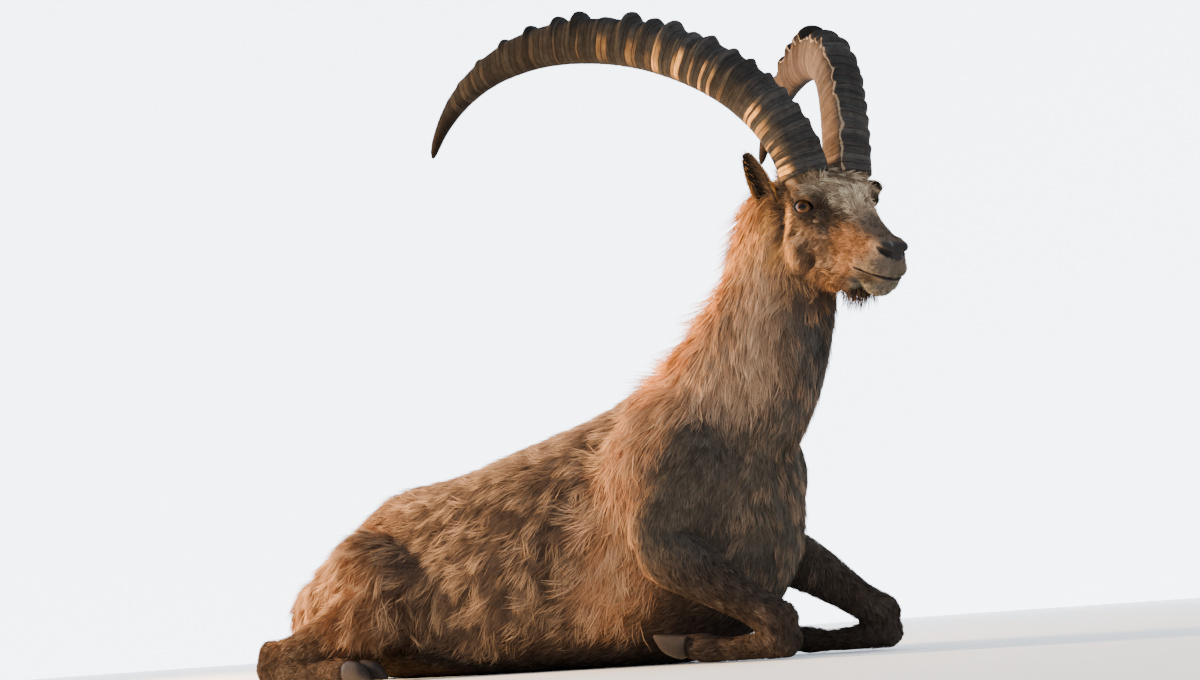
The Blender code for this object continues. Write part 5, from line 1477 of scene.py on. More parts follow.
def grow(surface, hair, per_triangle, prefix, seed, coat, material):
    """Grows every tuft of one surface, in pieces by part and side."""
    draw = np.random.default_rng(seed)
    fullness = coat.fullness * 1.0
    roots, normals, unfolded = spread(surface, per_triangle * fullness, draw)
    found = hair(roots + draw.normal(size=roots.shape) * blending(roots)[:, None], normals)
    found["steps"] = np.array([HAIRS[kind].steps for kind in found["kind"]])
    part = np.array([HAIRS[kind].piece for kind in found["kind"]])
    pieces = []
    for label, side in SIDES.items():
        for group in sorted(set(part)):
            bundles = []
            here = (part == group) & (roots[:, 1] * side > 0)
            for steps in TUFT_TAPER:
                chosen = np.flatnonzero(here & (found["steps"] == steps))
                if len(chosen) < FEWEST_TUFTS:
                    continue
                some = {key: values[chosen] for key, values in found.items()}
                start = (roots[chosen], normals[chosen], unfolded[chosen])
                bundles.append(tufts(surface, *start, some, draw, coat))
            if not bundles:
                continue
            piece = coat_piece(f"{prefix}_{group}_{label}", bundles)
            piece.data.materials.append(material)
            piece.data.transform(Matrix.Translation(SHIFT))
            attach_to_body(piece, "root")
            pieces.append(piece)
    return pieces


def free_of_hair(points):
    """Which points carry no tufts: bare nose and lips, lids, nostrils, horn seats and what lies flat."""
    head = head_points_of(points)
    free = (bare_at(head) > BARE_FROM) | (points[:, 2] < FLOOR_FREE)
    for side in SIDES.values():
        look, along, lift = (np.array(axis) for axis in eye_axes(side))
        gap = head - np.array(outward(EYE_CENTRE, side))
        high = (gap @ lift - LID_RAISE) / LID_SLIT[1]
        wide = gap @ along / LID_SLIT[0]
        limit = np.where(high > 0, LID_FREE_ABOVE, LID_FREE)
        free |= (np.hypot(high, wide) < limit) & (gap @ look > 0) & (np.linalg.norm(gap, axis=1) < LID_REACH)
        nostril = spline([row[:3] for row in NOSTRIL], 9) * (1, side, 1)
        free |= np.linalg.norm(head[:, None] - nostril[None], axis=2).min(axis=1) < NOSTRIL_FREE
        seat = np.array(horn_path(side, 1.0, 60))[:5]
        free |= np.linalg.norm(head * HEAD_SCALE - seat[:, None], axis=2).min(axis=0) < HORN_FREE
    return free


def build_coat(coat):
    """Everything that grows on the skin."""
    surface = surface_of(fetch("skin"))
    centres = surface.points[surface.corners].mean(axis=1)
    density = hair_at(centres, coat)["density"]
    density[free_of_hair(centres)] = 0.0
    per_triangle = density * triangle_areas(surface) * SQUARE_CM
    return grow(
        surface, lambda roots, _: hair_at(roots, coat), per_triangle,
        "coat", COAT_SEED, coat, once("ibex_coat", coat_material),
    )


# ---------------------------------------------------------------- ears

EAR_RINGS, EAR_POINTS = 40, 17
EAR_SEED = COAT_SEED + 7
EAR_HAIR = {
    "outer": Hair(0.0085, 0.0009, 0.12, 0.2, 0.007, 0.2, 30.0, 0.0, "face", "gold", 0.6, 2, "hair"),
    "inner": Hair(0.015, 0.0007, 0.4, 0.25, 0.008, 0.3, 14.0, 0.0, "cream", "chin", 0.8, 2, "hair"),
}


def ear_axes(label):
    aim = EAR_AIM[label].normalized()
    opening = EAR_OPENING[label]
    opening = (opening - aim * opening.dot(aim)).normalized()
    return aim, opening, aim.cross(opening).normalized()


def ear_form(label):
    """A leaf-shaped cup with a rolled edge, open to the front and the side."""
    side = SIDES[label]
    aim, opening, across = ear_axes(label)
    turns = np.linspace(0, math.pi, EAR_POINTS)
    rings = []
    for part, half_width, depth in spline(EAR, EAR_RINGS):
        centre = outward(EAR_ROOT[label], side) + aim * (EAR_LENGTH[label] * part)
        wall = EAR_WALL + EAR_WALL_ROOT * (1 - part)
        lip = max(0.1, 1 - wall / half_width)
        outer, inner = [], []
        for turn in turns:
            rim = across * (half_width * math.cos(turn))
            outer.append(centre + rim - opening * (depth * math.sin(turn)))
            cupped = min(wall - depth, 0.0) * math.sin(turn)
            filled = EAR_FILLING * math.sin(turn)
            blend = float(smoothstep(np.array(part), EAR_FLOOR * 0.5, EAR_FLOOR * 2.2))
            inner.append(centre + rim * lip + opening * (cupped * blend + filled * (1 - blend)))
        rings.append(outer + inner[::-1])
    return placed(loft(f"ear_{label}_skin", rings))


def ear_hair_at(points, normals, label, coat):
    aim, opening, across = (np.array(HEAD_AXES @ axis) for axis in ear_axes(label))
    root = np.array(in_head(outward(EAR_ROOT[label], SIDES[label])))
    up = ((points - root) @ aim / (EAR_LENGTH[label] * HEAD_SCALE))[:, None]
    inner = smoothstep(normals @ opening, 0.05, 0.35)[:, None]
    wide = (points - root) @ across
    front = np.sign(HEAD_AXES.col[0].dot(Vector(across)))
    near_front = smoothstep(wide * front, -0.004, 0.014)[:, None]
    found = {}
    for key in HAIR_NUMBERS:
        outer_value, inner_value = (getattr(EAR_HAIR[kind], key) for kind in ("outer", "inner"))
        found[key] = (outer_value * (1 - inner) + inner_value * inner)[:, 0]
    found["density"] = found["density"] * (1 - 0.75 * (inner * (1 - near_front))[:, 0])
    found["lie"] = (
        aim * (0.8 + 0.4 * inner) + across * front * -0.8 * inner * near_front + opening * 0.3 * inner
    )
    # Gold along the edges of the ear's outer side is painted rim light.
    rim = smoothstep(np.abs(wide), 0.008, 0.016)[:, None] * (1 - inner)
    outer_body = np.array(coat.tan) * (1 - rim) + np.array(coat.gold) * rim
    inner_body = np.array(coat.slate) * (1 - near_front) + np.array(coat.face) * near_front
    # Gold along the rear edge of the inner side is painted rim light too.
    painted_rear_rim_light = smoothstep(-wide * front, 0.013, 0.017)[:, None]
    inner_body = inner_body * (1 - painted_rear_rim_light) + np.array(coat.gold) * painted_rear_rim_light
    dark_tip = smoothstep(up, 0.75, 1.0) * 0.25
    found["body"] = (outer_body * (1 - inner) + inner_body * inner) * (1 - dark_tip)
    found["tip"] = np.array(coat.gold) * (1 - inner) + np.array(coat.lip) * inner
    found["kind"] = np.full(len(points), "temple")
    return found


def build_ear(label, coat):
    ear = ear_form(label)
    modify(ear, "SUBSURF", levels=1, render_levels=1)
    unwrap(ear)
    points, normals, _ = arrays_of(ear.data)
    hair = ear_hair_at(points, normals, label, coat)
    aim, opening, _ = (np.array(HEAD_AXES @ axis) for axis in ear_axes(label))
    hollow = smoothstep(normals @ opening, 0.1, 0.5)[:, None]
    tint = hair["body"] * (1 - hollow * 0.7) * 0.8
    set_point_colours(ear.data, "tint", tint)
    set_point_values(ear.data, "bare", np.zeros(len(points)))
    set_point_vectors(ear.data, "grain", points * 300 - aim * ((points @ aim) * 250)[:, None])
    finish_piece(ear, once("ibex_skin", skin_material), (f"ear_{label}",), angle=None)
    surface = surface_of(ear)
    centres = surface.points[surface.corners].mean(axis=1)
    facing = unit(surface.normals[surface.corners].mean(axis=1))
    density = ear_hair_at(centres, facing, label, coat)["density"]
    return grow(
        surface, lambda roots, out: ear_hair_at(roots, out, label, coat),
        density * triangle_areas(surface) * SQUARE_CM,
        f"ear_{label}", EAR_SEED + SIDES[label], coat, once("ibex_coat", coat_material),
    )


# ---------------------------------------------------------------- eyes and lids

IRIS_SHARE = 0.66                # radius of the iris, as a share of the eye's
CORNEA_SPREAD = 0.75             # how wide the cornea is, in radians off the gaze
# Lid from the wet edge outwards: share of the opening's size, height over the ball.
LID_PROFILE = (
    (0.86, 0.0001), (0.89, 0.0011), (0.95, 0.0020), (1.04, 0.0026), (1.16, 0.0026), (1.30, 0.0012),
    (1.24, -0.0030), (1.00, -0.0030),
)
# Folds over and under the eye: first and last degree round the opening, share of its size, half width.
LID_FOLDS = (
    (12, 168, 1.38, 0.0020),
    (20, 160, 1.66, 0.0016),
    (200, 340, 1.42, 0.0013),
    (215, 325, 1.72, 0.0012),
)
FOLD_HEIGHT = 0.0022             # over the ball
LOWER_LID = np.array((0.034, 0.024, 0.017))
WET_EDGE = np.array((0.120, 0.075, 0.042))       # moist line along the lower lid


def on_ball(offset, look, radius):
    """The place over the eye's ball that an offset across the gaze gives, at a radius."""
    return offset + look * math.sqrt(max(radius ** 2 - offset.length_squared, 0.003 ** 2))


def build_eye(label, eye):
    side = SIDES[label]
    look = eye_axes(side)[0]
    turn = look.to_track_quat("Z", "Y").to_matrix()
    ball = ellipsoid(f"eyeball_{label}", Vector(), (1, 1, 1), turn, segments=64, rings=48)
    points, _, _ = arrays_of(ball.data)
    off = np.arccos(np.clip(points @ np.array(look), -1, 1))
    rise = eye.cornea_rise * (1 - smoothstep(off, 0.0, CORNEA_SPREAD))
    points = points * (EYE_RADIUS + rise)[:, None]
    ball.data.vertices.foreach_set("co", points.ravel())
    centre = outward(EYE_CENTRE, side)
    gaze = HEAD_AXES @ look
    level = Vector((0, 0, 1)).cross(gaze).normalized()
    level_axes = [np.array(HEAD_AXES.transposed() @ axis) for axis in (level, gaze.cross(level))]
    seen = np.column_stack([points @ axis for axis in level_axes]) / (EYE_RADIUS * IRIS_SHARE)
    behind = (points @ np.array(look) < 0)[:, None]
    seen = np.where(behind, np.sign(seen) + seen * 2, seen)
    set_point_vectors(ball.data, "gaze", np.column_stack([seen, np.zeros(len(seen))]))
    ball.data.transform(Matrix.Translation(centre))
    placed(ball)
    return finish_piece(ball, once("ibex_eye", eye_material, eye), (f"eye_{label}",), angle=None)


def build_lids(label, eye):
    """A rolled rim round the eye, with a fold above and below it."""
    side = SIDES[label]
    look, _, lift = eye_axes(side)
    centre = outward(EYE_CENTRE, side)
    outline = lid_outline(side)
    rings = [
        [centre + on_ball(offset * wide, look, EYE_RADIUS + high) for wide, high in LID_PROFILE]
        for offset in outline
    ]
    parts = [loft("rim", rings, closed=True)]
    for first, last, wide, half_width in LID_FOLDS:
        low, high = (round(turn / 360 * LID_CORNERS) for turn in (first, last))
        stations = []
        for i in range(low, high + 1):
            fade = math.sin(math.pi * (i - low + 0.6) / (high - low + 1.2)) ** 0.6
            spot = centre + on_ball(outline[i % LID_CORNERS] * wide, look, EYE_RADIUS + FOLD_HEIGHT)
            stations.append((*spot, half_width * fade, half_width * fade))
        parts.append(limb("fold", stations, up=look, count=10, steps=1))
    lids = placed(join(f"lids_{label}", parts))
    points, _, _ = arrays_of(lids.data)
    above = (head_points_of(points) - np.array(centre)) @ np.array(lift)
    near = np.linalg.norm(points - np.array(in_head(centre)), axis=1)
    pale = (1 - smoothstep(above, -0.010, -0.004)) * smoothstep(near, 0.0185, 0.0205) * 0.8
    tint = np.array(eye.lid) * (1 - pale[:, None]) + LOWER_LID * pale[:, None]
    number = np.arange(len(points))
    edge = (number < LID_CORNERS * len(LID_PROFILE)) & (number % len(LID_PROFILE) < 2)
    wet = (edge * (1 - smoothstep(above, -0.004, 0.006)))[:, None]
    tint = tint * (1 - wet) + WET_EDGE * wet
    set_point_colours(lids.data, "tint", tint)
    return finish_piece(lids, once("ibex_lid", lid_material), (), angle=None)


# ---------------------------------------------------------------- horns

HORN_LENGTH = 0.850
HORN_SIZE = {"right": 1.0, "left": 0.940}
HORN_RISE, HORN_SPLAY = math.radians(59.2), math.radians(41.7)
HORN_UNWIND, HORN_CANT = math.radians(-19.8), math.radians(-15.8)
HORN_BEND = (4.05, -9.86, 11.34)
HORN_ROOT = Vector((-0.031, 0.037, 0.047))
# Horn from root to tip: share of its length, half depth fore and aft, half width across.
HORN_GIRTH = (
    (0.00, 0.0345, 0.0300),
    (0.15, 0.0350, 0.0290),
    (0.35, 0.0350, 0.0275),
    (0.55, 0.0330, 0.0245),
    (0.70, 0.0280, 0.0205),
    (0.82, 0.0205, 0.0160),
    (0.91, 0.0145, 0.0115),
    (0.97, 0.0088, 0.0074),
    (0.99, 0.0058, 0.0052),
    (1.00, 0.0022, 0.0020),
)
HORN_RINGS, HORN_CORNERS = 780, 44
RING_COUNT, FINE_RINGS, RING_DRIFT = 104, 260, 0.0018
# Knobs on the front of the horn: share of its length, height as a share of the usual.
HORN_KNOBS = (
    (0.050, 0.45), (0.082, 0.50), (0.113, 0.60), (0.147, 0.70), (0.182, 0.75), (0.220, 0.90), (0.255, 0.80),
    (0.300, 1.00), (0.335, 0.45), (0.372, 1.20), (0.410, 0.90), (0.455, 1.25), (0.505, 0.25), (0.560, 1.30),
    (0.604, 1.10), (0.665, 1.10), (0.725, 1.00), (0.788, 0.80), (0.845, 0.55), (0.885, 0.35),
)
KNOB_SPREAD = 0.0090             # half length of a knob, as a share of the horn's length
KNOB_LEAN = 0.004                # how far a knob leans towards the tip
KNOB_STEEP = 0.62                # length of its side towards the tip, as a share of the other
KEEL_TURN, KEEL_SPREAD, KEEL_RISE = math.radians(43), 0.13, 0.0016   # edge of the front and the inner side
KEEL_END = 0.7                   # share of the length where it begins to fade
HORN_SEED = {"right": 5, "left": 8}
OUTER_PAINTED_SHADE = 0.45           # painted shade: how much darker the horn's outer part is
KNOB_GROWTH = {"right": 0.0, "left": 0.7}     # how much bigger the knobs of the outer half are


def horn_path(side, size, count):
    """Centre points of the horn in the head's own axes."""
    shares = np.linspace(0, 1, count)
    constant, linear, square = HORN_BEND
    bent = constant * shares + linear * shares ** 2 / 2 + square * shares ** 3 / 3
    angles = HORN_RISE - bent * HORN_LENGTH
    step = HORN_LENGTH * size / (count - 1)
    middle = (angles[1:] + angles[:-1]) / 2
    reach = np.concatenate([[0], np.cumsum(np.cos(middle)) * step])
    rise = np.concatenate([[0], np.cumsum(np.sin(middle)) * step])
    splay = HORN_SPLAY + HORN_UNWIND * shares
    back = np.column_stack([-np.cos(splay), side * np.sin(splay), np.zeros(count)])
    up = np.array((0, side * math.sin(HORN_CANT), math.cos(HORN_CANT)))
    return np.array(outward(HORN_ROOT, side)) + back * reach[:, None] + up * rise[:, None]


def growth_rings(shares, turns, seed):
    """Height of the growth rings, 0 to 1, and the luck of each: uneven layers with narrow grooves."""
    draw = np.random.default_rng(seed)
    widths = draw.uniform(0.35, 1.65, RING_COUNT) * np.linspace(0.85, 1.35, RING_COUNT)
    edges = np.concatenate([[0.0], np.cumsum(widths)]) / widths.sum()
    heights, luck = draw.uniform(0.45, 1.0, RING_COUNT), draw.random(RING_COUNT)
    drift = np.sin(turns + seed) + 0.6 * np.sin(2 * turns + 1.3 * seed)
    drift = drift + 0.25 * np.sin(5 * turns + shares * 60)
    where = np.clip(shares + drift * RING_DRIFT, 0.0, 0.9999)
    index = np.searchsorted(edges, where, side="right") - 1
    part = (where - edges[index]) / (edges[index + 1] - edges[index])
    layer = heights[index] * (1 - np.abs(2 * part ** 0.8 - 1) ** 6)
    fine = 0.5 + 0.5 * np.sin(where * 2 * math.pi * FINE_RINGS + 2 * np.sin(shares * 50 + turns))
    worn = 1 - 0.8 * smoothstep(shares, 0.84, 0.97)
    return (layer * 0.78 + fine * 0.22) * worn, luck[index]


def worn_painted_sheen_at(shares, fore, wide, rings, luck):
    """Where the worn streaks get their painted sheen: ring by ring in patches, on the outer side of its
    nearer half.
    """
    worn_painted_sheen = smoothstep(luck, 0.45, 0.85) * smoothstep(rings, 0.30, 0.70)
    worn_painted_sheen = worn_painted_sheen * smoothstep(fore, -0.95, -0.60) * (1 - smoothstep(fore, luck - 0.75, luck - 0.35))
    worn_painted_sheen = worn_painted_sheen * smoothstep(wide, 0.0, 0.3) * (1 - 0.95 * smoothstep(shares, 0.40, 0.58))
    patches = np.sin(shares * 41 + 2.5 * fore) + np.sin(shares * 97)
    return worn_painted_sheen * (0.35 + 0.65 * smoothstep(patches, -0.6, 0.7))


def horn_tint(horn, shares, fore, wide, rings, luck, worn_painted_sheen):
    """Colour of each point: brown, with a dark front, a rosy inner side, worn streaks with painted sheen,
    darker grooves between the rings and painted shade on the outer part.
    """
    front_face = smoothstep(fore, 0.45, 0.85)
    inner = smoothstep(-wide, 0.1, 0.6) * (1 - front_face)
    tint = np.broadcast_to(np.array(horn.brown), (*rings.shape, 3))
    shades = ((horn.dark, front_face * 0.75), (horn.rose, inner * 0.85), (horn.painted_sheen_amber, worn_painted_sheen * 0.9))
    for shade, amount in shades:
        amount = np.broadcast_to(amount, rings.shape)[..., None]
        tint = tint * (1 - amount) + np.array(shade) * amount
    tint = tint * (0.30 + 0.90 * rings[..., None]) * (0.75 + 0.5 * luck[..., None])
    # Painted shade over the horn's outer part.
    return tint * (1 - OUTER_PAINTED_SHADE * smoothstep(shares, 0.35, 0.60)[..., None])


def build_horn(label, horn):
    """The horn as a fine loft: squarer in front, with knobs, growth rings and a keel."""
    side, seed = SIDES[label], HORN_SEED[label]
    shares = np.linspace(0, 1, HORN_RINGS)
    path = horn_path(side, HORN_SIZE[label], HORN_RINGS)
    along = unit(np.gradient(path, axis=0))
    front = unit(np.cross((0, 1, 0), along))
    across = unit(np.cross(along, front)) * side
    girth = np.array(HORN_GIRTH)
    depth = np.interp(shares, girth[:, 0], girth[:, 1])[:, None]
    width = np.interp(shares, girth[:, 0], girth[:, 2])[:, None]
    turns = (np.arange(HORN_CORNERS) + 0.5) / HORN_CORNERS * 2 * math.pi
    fore, wide = np.cos(turns)[None], np.sin(turns)[None]
    shares = shares[:, None]
    power = 2 + 1.4 * smoothstep(fore, -0.35, 0.35)
    fullness = (np.abs(fore) ** power + np.abs(wide) ** power) ** (-1 / power)
    knobs = np.array(HORN_KNOBS)
    off = (shares - KNOB_LEAN * (1 - fore))[..., None] - knobs[:, 0]
    flank = KNOB_SPREAD * np.where(off > 0, KNOB_STEEP, 1.0)
    knob = (np.exp(-(off / flank) ** 2) * knobs[:, 1]).max(axis=2)
    knob = knob * (1 + KNOB_GROWTH[label] * smoothstep(shares, 0.45, 0.55))
    rings, luck = growth_rings(shares + 0.004 * fore, turns[None], seed)
    inner_edge = turns[None] - (2 * math.pi - KEEL_TURN)
    inner_edge = inner_edge + 0.04 * np.sin(shares * 130) + 0.05 * np.sin(shares * 47)
    keel = np.exp(-(inner_edge / KEEL_SPREAD) ** 2) * (1 - smoothstep(shares, KEEL_END, 0.9))
    worn = 1 - smoothstep(shares, 0.93, 1.0)
    bulge = 1 + knob * horn.knob_rise * np.maximum(0.0, fore + 0.15)
    swell = 1 + knob * 0.07 * np.maximum(0.0, fore + 0.4)
    relief = (rings - 0.45) * horn.ring_height * worn + keel * KEEL_RISE
    thick_fore = fore * (depth * fullness * bulge + relief)
    thick_wide = wide * (width * fullness * swell + relief)
    points = path[:, None] + front[:, None] * thick_fore[..., None] + across[:, None] * thick_wide[..., None]
    piece = loft(f"horn_{label}_skin", points)
    worn_painted_sheen = worn_painted_sheen_at(shares, fore, wide, rings, luck)
    tint = horn_tint(horn, shares, fore, wide, rings, luck, worn_painted_sheen)
    growth = np.stack(np.broadcast_arrays(shares * HORN_LENGTH, turns[None], rings), axis=-1)
    edge = np.stack(np.broadcast_arrays(np.sin(inner_edge), np.cos(inner_edge), worn_painted_sheen), axis=-1)
    looks = (
        ("tint", tint, set_point_colours),
        ("growth", growth, set_point_vectors),
        ("edge", edge, set_point_vectors),
    )
    for name, values, attach in looks:
        rows = values.reshape(-1, 3)
        attach(piece.data, name, np.vstack([rows, rows[[0, -1]]]))
    placed(piece, scale=1.0)
    material = once("ibex_horn", horn_material, horn)
    return finish_piece(piece, material, (f"horn_{label}",), angle=None)


# ---------------------------------------------------------------- hooves

FORE_HOOF, HIND_HOOF = 0.058, 0.062
FORE_HOOF_AIM, HIND_HOOF_AIM = Vector((-1, 0, 0.10)), Vector((1, 0.08, 0))
FORE_SOLE, HIND_SOLE = Vector((0, 0, 1)), Vector((0, 0, -1))
CLAW_HALF_WIDTH, CLAW_HEIGHT, CLAW_APART, CLAW_SPREAD = 0.0120, 0.032, 0.0135, 0.003
HEEL_BACK, HEEL_RISE = 0.006, 0.014
# Claw from heel to toe: shares of its length and width, upper and lower edge as shares of its height.
CLAW = (
    (0.00, 0.90, 0.90, 0.00),
    (0.20, 1.00, 1.00, 0.00),
    (0.62, 0.95, 0.80, 0.00),
    (0.88, 0.58, 0.38, 0.00),
    (1.00, 0.18, 0.14, 0.04),
)
CLAW_RINGS, CLAW_CORNERS = 36, 24
CLAW_ROUNDNESS, CLAW_FULLNESS = 0.8, 0.93
GROWTH_LINES = (0.018, 75)       # height of the lines on the wall, as a share, and how many


def build_claw(name, heel, toe, sole, hoof):
    """One claw of a cloven hoof: a hard wall with growth lines, flat at its sole."""
    along = (toe - heel).normalized()
    across = sole.cross(along).normalized()
    lift = -sole
    lift = (lift - along * lift.dot(along)).normalized()
    extent = (toe - heel).length
    rings, growth = [], []
    for part, wide, high, low in spline(CLAW, CLAW_RINGS):
        centre = heel + along * (extent * part)
        ring = []
        for i in range(CLAW_CORNERS):
            angle = 2 * math.pi * i / CLAW_CORNERS
            bowed = math.copysign(abs(math.cos(angle)) ** CLAW_ROUNDNESS, math.cos(angle))
            y = bowed * CLAW_HALF_WIDTH * wide * CLAW_FULLNESS
            z = (low + (high - low) * (math.sin(angle) + 1) / 2) * CLAW_HEIGHT
            wall = 1 + GROWTH_LINES[0] * math.sin(part * GROWTH_LINES[1]) * max(0.0, math.sin(angle) + 0.6)
            ring.append(centre + across * (y * wall) + lift * z)
            growth.append((part * extent, angle, 0.5 - 0.5 * math.sin(angle)))
        rings.append(ring)
    claw = loft(f"{name}_horn", rings)
    set_point_vectors(claw.data, "growth", growth + [growth[0], growth[-1]])
    return finish_piece(claw, once("ibex_hoof", hoof_material, hoof), (name,), angle=50)


def build_hooves(hoof):
    for label, side in SIDES.items():
        ahead = outward(HIND_HOOF_AIM, side).normalized()
        fore_end, hind_end = (outward(Vector(table[-1][:3]), side) for table in (FORE_CANNON, HIND_CANNON))
        for which, end, aim, sole, extent in (
            ("fore", fore_end, FORE_HOOF_AIM.normalized(), FORE_SOLE, FORE_HOOF),
            ("hind", hind_end, ahead, HIND_SOLE, HIND_HOOF),
        ):
            across = sole.cross(aim).normalized()
            for part, offset in (("inner", -1), ("outer", 1)):
                heel = end + across * (CLAW_APART * offset) - aim * HEEL_BACK + sole * HEEL_RISE
                toe = heel + aim * extent + across * (CLAW_SPREAD * offset)
                build_claw(f"hoof_{which}_{label}_{part}", heel, toe, sole, hoof)


# ---------------------------------------------------------------- studio

CAMERA_TURN = math.radians(40)           # from the right side, towards the front
CAMERA_ROLL = math.radians(-4)           # lean of the view
CAMERA_DISTANCE, CAMERA_HEIGHT = 3.1, 0.06
CAMERA_TARGET, METRES_PER_PIXEL = Vector((0, 0, 0.50)), 0.00155
PICTURE_WIDTH, SENSOR_WIDTH = 1200, 36.0
FLOOR_RADIUS, FLOOR_THICKNESS = 9.0, 0.04
KEY_LIGHT, FILL_LIGHT = Vector((-3.20, -1.00, 1.00)), Vector((2.6, -2.6, 1.6))
KEY_SIZE, FILL_SIZE = 0.6, 2.6
KEY_TINT, FILL_TINT = (1.0, 0.62, 0.29), (1.0, 0.93, 0.84)
BACKDROP_RADIUS, BACKDROP_HEIGHT, BACKDROP_TURN, BACKDROP_STEPS = 7.0, 6.0, math.radians(65), 60


def place_camera():
    flat = math.sqrt(CAMERA_DISTANCE ** 2 - (CAMERA_TARGET.z - CAMERA_HEIGHT) ** 2)
    across, back = math.sin(CAMERA_TURN) * flat, math.cos(CAMERA_TURN) * flat
    spot = Vector((CAMERA_TARGET.x + across, CAMERA_TARGET.y - back, CAMERA_HEIGHT))
    ahead = (CAMERA_TARGET - spot).normalized()
    level = ahead.cross(Vector((0, 0, 1))).normalized()
    upright = level.cross(ahead)
    right = level * math.cos(CAMERA_ROLL) + upright * math.sin(CAMERA_ROLL)
    up = upright * math.cos(CAMERA_ROLL) - level * math.sin(CAMERA_ROLL)
    deselect()
    bpy.ops.object.camera_add()
    camera = bpy.context.object
    camera.name = "studio_camera"
    camera.data.sensor_width = SENSOR_WIDTH
    camera.data.lens = CAMERA_DISTANCE / METRES_PER_PIXEL / PICTURE_WIDTH * SENSOR_WIDTH
    camera.data.clip_start, camera.data.clip_end = 0.05, 60.0
    turn = Matrix((right, up, -ahead)).transposed().to_4x4()
    camera.matrix_world = Matrix.Translation(spot + SHIFT) @ turn
    bpy.context.scene.camera = camera


def soft_light(name, spot, target, size, power, tint):
    deselect()
    bpy.ops.object.light_add(type="AREA", location=spot)
    light = bpy.context.object
    light.name = name
    light.data.shape = "DISK"
    light.data.size = size
    light.data.energy = power
    light.data.color = tint
    light.rotation_euler = (Vector(target) - spot).to_track_quat("-Z", "Y").to_euler()
    return light


def build_backdrop(stage):
    """A tall glowing sheet bent round the back of the floor, opposite the camera."""
    middle = CAMERA_TURN + math.pi / 2
    rim = []
    for turn in np.linspace(-BACKDROP_TURN, BACKDROP_TURN, BACKDROP_STEPS):
        rim.append((BACKDROP_RADIUS * math.cos(middle + turn), BACKDROP_RADIUS * math.sin(middle + turn)))
    points = [(x, y, z) for z in (0.002, BACKDROP_HEIGHT) for x, y in rim]
    faces = [(i + 1, i, BACKDROP_STEPS + i, BACKDROP_STEPS + i + 1) for i in range(BACKDROP_STEPS - 1)]
    sheet = mesh_of("studio_backdrop", points, faces)
    sheet.data.shade_smooth()
    nodes = Nodes("studio_backdrop", Specular_IOR_Level=0.0, Roughness=0.9, Emission_Strength=stage.backdrop)
    sheet.data.materials.append(nodes.set(Base_Color=stage.floor, Emission_Color=stage.sky))


def build_stage(stage):
    deselect()
    bpy.ops.mesh.primitive_cylinder_add(
        vertices=160, radius=FLOOR_RADIUS, depth=FLOOR_THICKNESS, location=(0, 0, -FLOOR_THICKNESS / 2)
    )
    floor = bpy.context.object
    floor.name = "studio_floor"
    bpy.ops.object.transform_apply(location=True, rotation=True, scale=True)
    modify(floor, "BEVEL", width=0.01, segments=3, limit_method="ANGLE")
    floor.data.materials.append(floor_material(stage))
    build_backdrop(stage)
    world = bpy.data.worlds.new("studio_sky")
    world.use_nodes = True
    sky = world.node_tree.nodes["Background"]
    sky.inputs["Color"].default_value = (*stage.sky, 1.0)
    sky.inputs["Strength"].default_value = stage.sky_strength
    bpy.context.scene.world = world
    key = soft_light("key", KEY_LIGHT, (0.2, -0.1, 0.5), KEY_SIZE, stage.key_power, KEY_TINT)
    key.visible_glossy = False           # no white glare on eyes, horns and claws
    soft_light("fill", FILL_LIGHT, (0.2, -0.1, 0.4), FILL_SIZE, stage.fill_power, FILL_TINT)
    place_camera()


# ---------------------------------------------------------------- operators

class IbexOperator(bpy.types.Operator):
    """What every step of the ibex shares."""

    bl_options = {"REGISTER", "UNDO"}


class IBEX_OT_skin(IbexOperator):
    """Builds the skin under the coat"""

    bl_idname = "ibex.skin"
    bl_label = "Skin"

    def execute(self, context):
        build_skin(context.scene.ibex_coat)
        return {"FINISHED"}


class IBEX_OT_ears(IbexOperator):
    """Builds both ears and their hair"""

    bl_idname = "ibex.ears"
    bl_label = "Ears"

    def execute(self, context):
        for label in SIDES:
            build_ear(label, context.scene.ibex_coat)
        return {"FINISHED"}


class IBEX_OT_eyes(IbexOperator):
    """Builds both eyes with their lids"""

    bl_idname = "ibex.eyes"
    bl_label = "Eyes and lids"

    def execute(self, context):
        for label in SIDES:
            build_eye(label, context.scene.ibex_eye)
            build_lids(label, context.scene.ibex_eye)
        return {"FINISHED"}


class IBEX_OT_horns(IbexOperator):
    """Builds both horns"""

    bl_idname = "ibex.horns"
    bl_label = "Horns"

    def execute(self, context):
        for label in SIDES:
            build_horn(label, context.scene.ibex_horn)
        return {"FINISHED"}


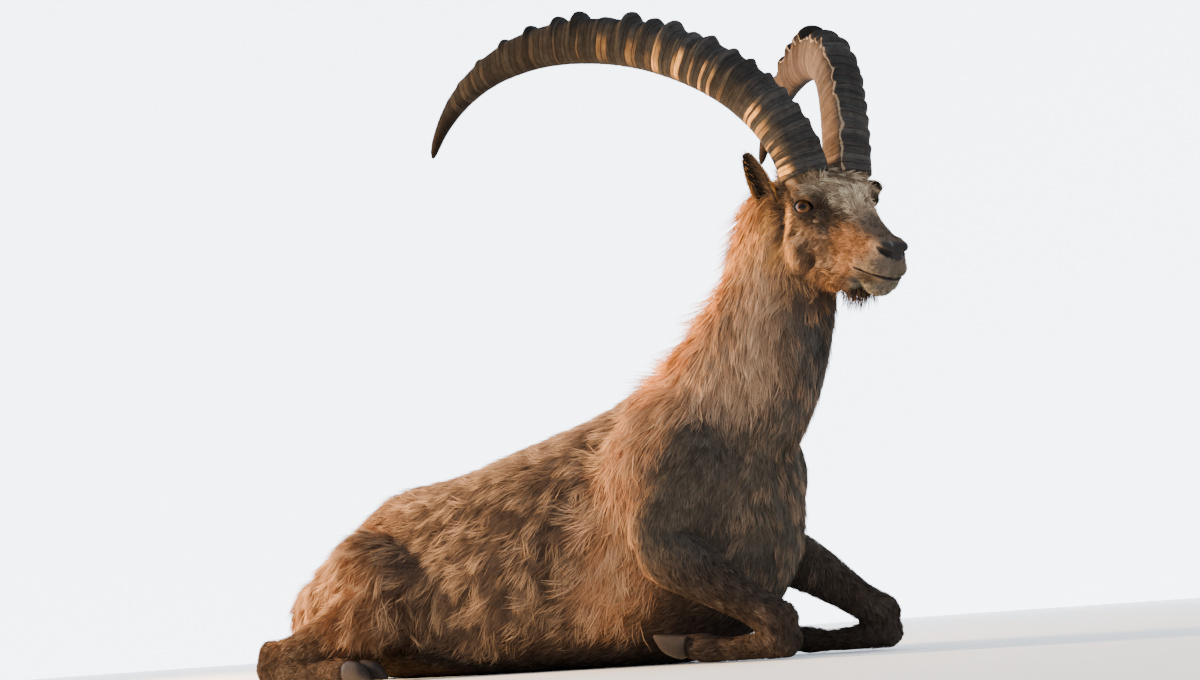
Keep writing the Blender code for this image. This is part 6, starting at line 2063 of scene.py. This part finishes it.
class IBEX_OT_hooves(IbexOperator):
    """Builds the eight claws"""

    bl_idname = "ibex.hooves"
    bl_label = "Hooves"

    def execute(self, context):
        build_hooves(context.scene.ibex_hoof)
        return {"FINISHED"}


class IBEX_OT_coat(IbexOperator):
    """Grows the coat on the skin"""

    bl_idname = "ibex.coat"
    bl_label = "Coat"

    def execute(self, context):
        build_coat(context.scene.ibex_coat)
        return {"FINISHED"}


class IBEX_OT_stage(IbexOperator):
    """Sets up the studio: floor, light and camera"""

    bl_idname = "ibex.stage"
    bl_label = "Studio"

    def execute(self, context):
        build_stage(context.scene.ibex_stage)
        return {"FINISHED"}


class IBEX_PT_panel(bpy.types.Panel):
    """The steps of the ibex and their settings"""

    bl_idname = "IBEX_PT_panel"
    bl_label = "Alpine Ibex"
    bl_space_type = "VIEW_3D"
    bl_region_type = "UI"
    bl_category = "Ibex"

    def draw(self, context):
        layout = self.layout
        for step in OPERATORS:
            layout.operator(step.bl_idname)
        for key in SETTINGS:
            box = layout.box()
            group = getattr(context.scene, key)
            for name in group.__annotations__:
                box.prop(group, name)


SETTINGS = {
    "ibex_coat": IbexCoatSettings,
    "ibex_horn": IbexHornSettings,
    "ibex_eye": IbexEyeSettings,
    "ibex_hoof": IbexHoofSettings,
    "ibex_stage": IbexStageSettings,
}
OPERATORS = (
    IBEX_OT_skin, IBEX_OT_ears, IBEX_OT_eyes, IBEX_OT_horns, IBEX_OT_hooves, IBEX_OT_coat, IBEX_OT_stage,
)


def register():
    for kind in (*SETTINGS.values(), *OPERATORS, IBEX_PT_panel):
        bpy.utils.register_class(kind)
    for key, kind in SETTINGS.items():
        setattr(bpy.types.Scene, key, bpy.props.PointerProperty(type=kind))


def unregister():
    for key in SETTINGS:
        delattr(bpy.types.Scene, key)
    for kind in reversed((*SETTINGS.values(), *OPERATORS, IBEX_PT_panel)):
        bpy.utils.unregister_class(kind)


def main():
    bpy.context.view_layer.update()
    for name in ("Cube", "Light", "Camera"):
        if name in bpy.data.objects:
            drop(bpy.data.objects[name])
    register()
    for step in OPERATORS:
        area, name = step.bl_idname.split(".")
        getattr(getattr(bpy.ops, area), name)()


if __name__ == "__main__":
    main()
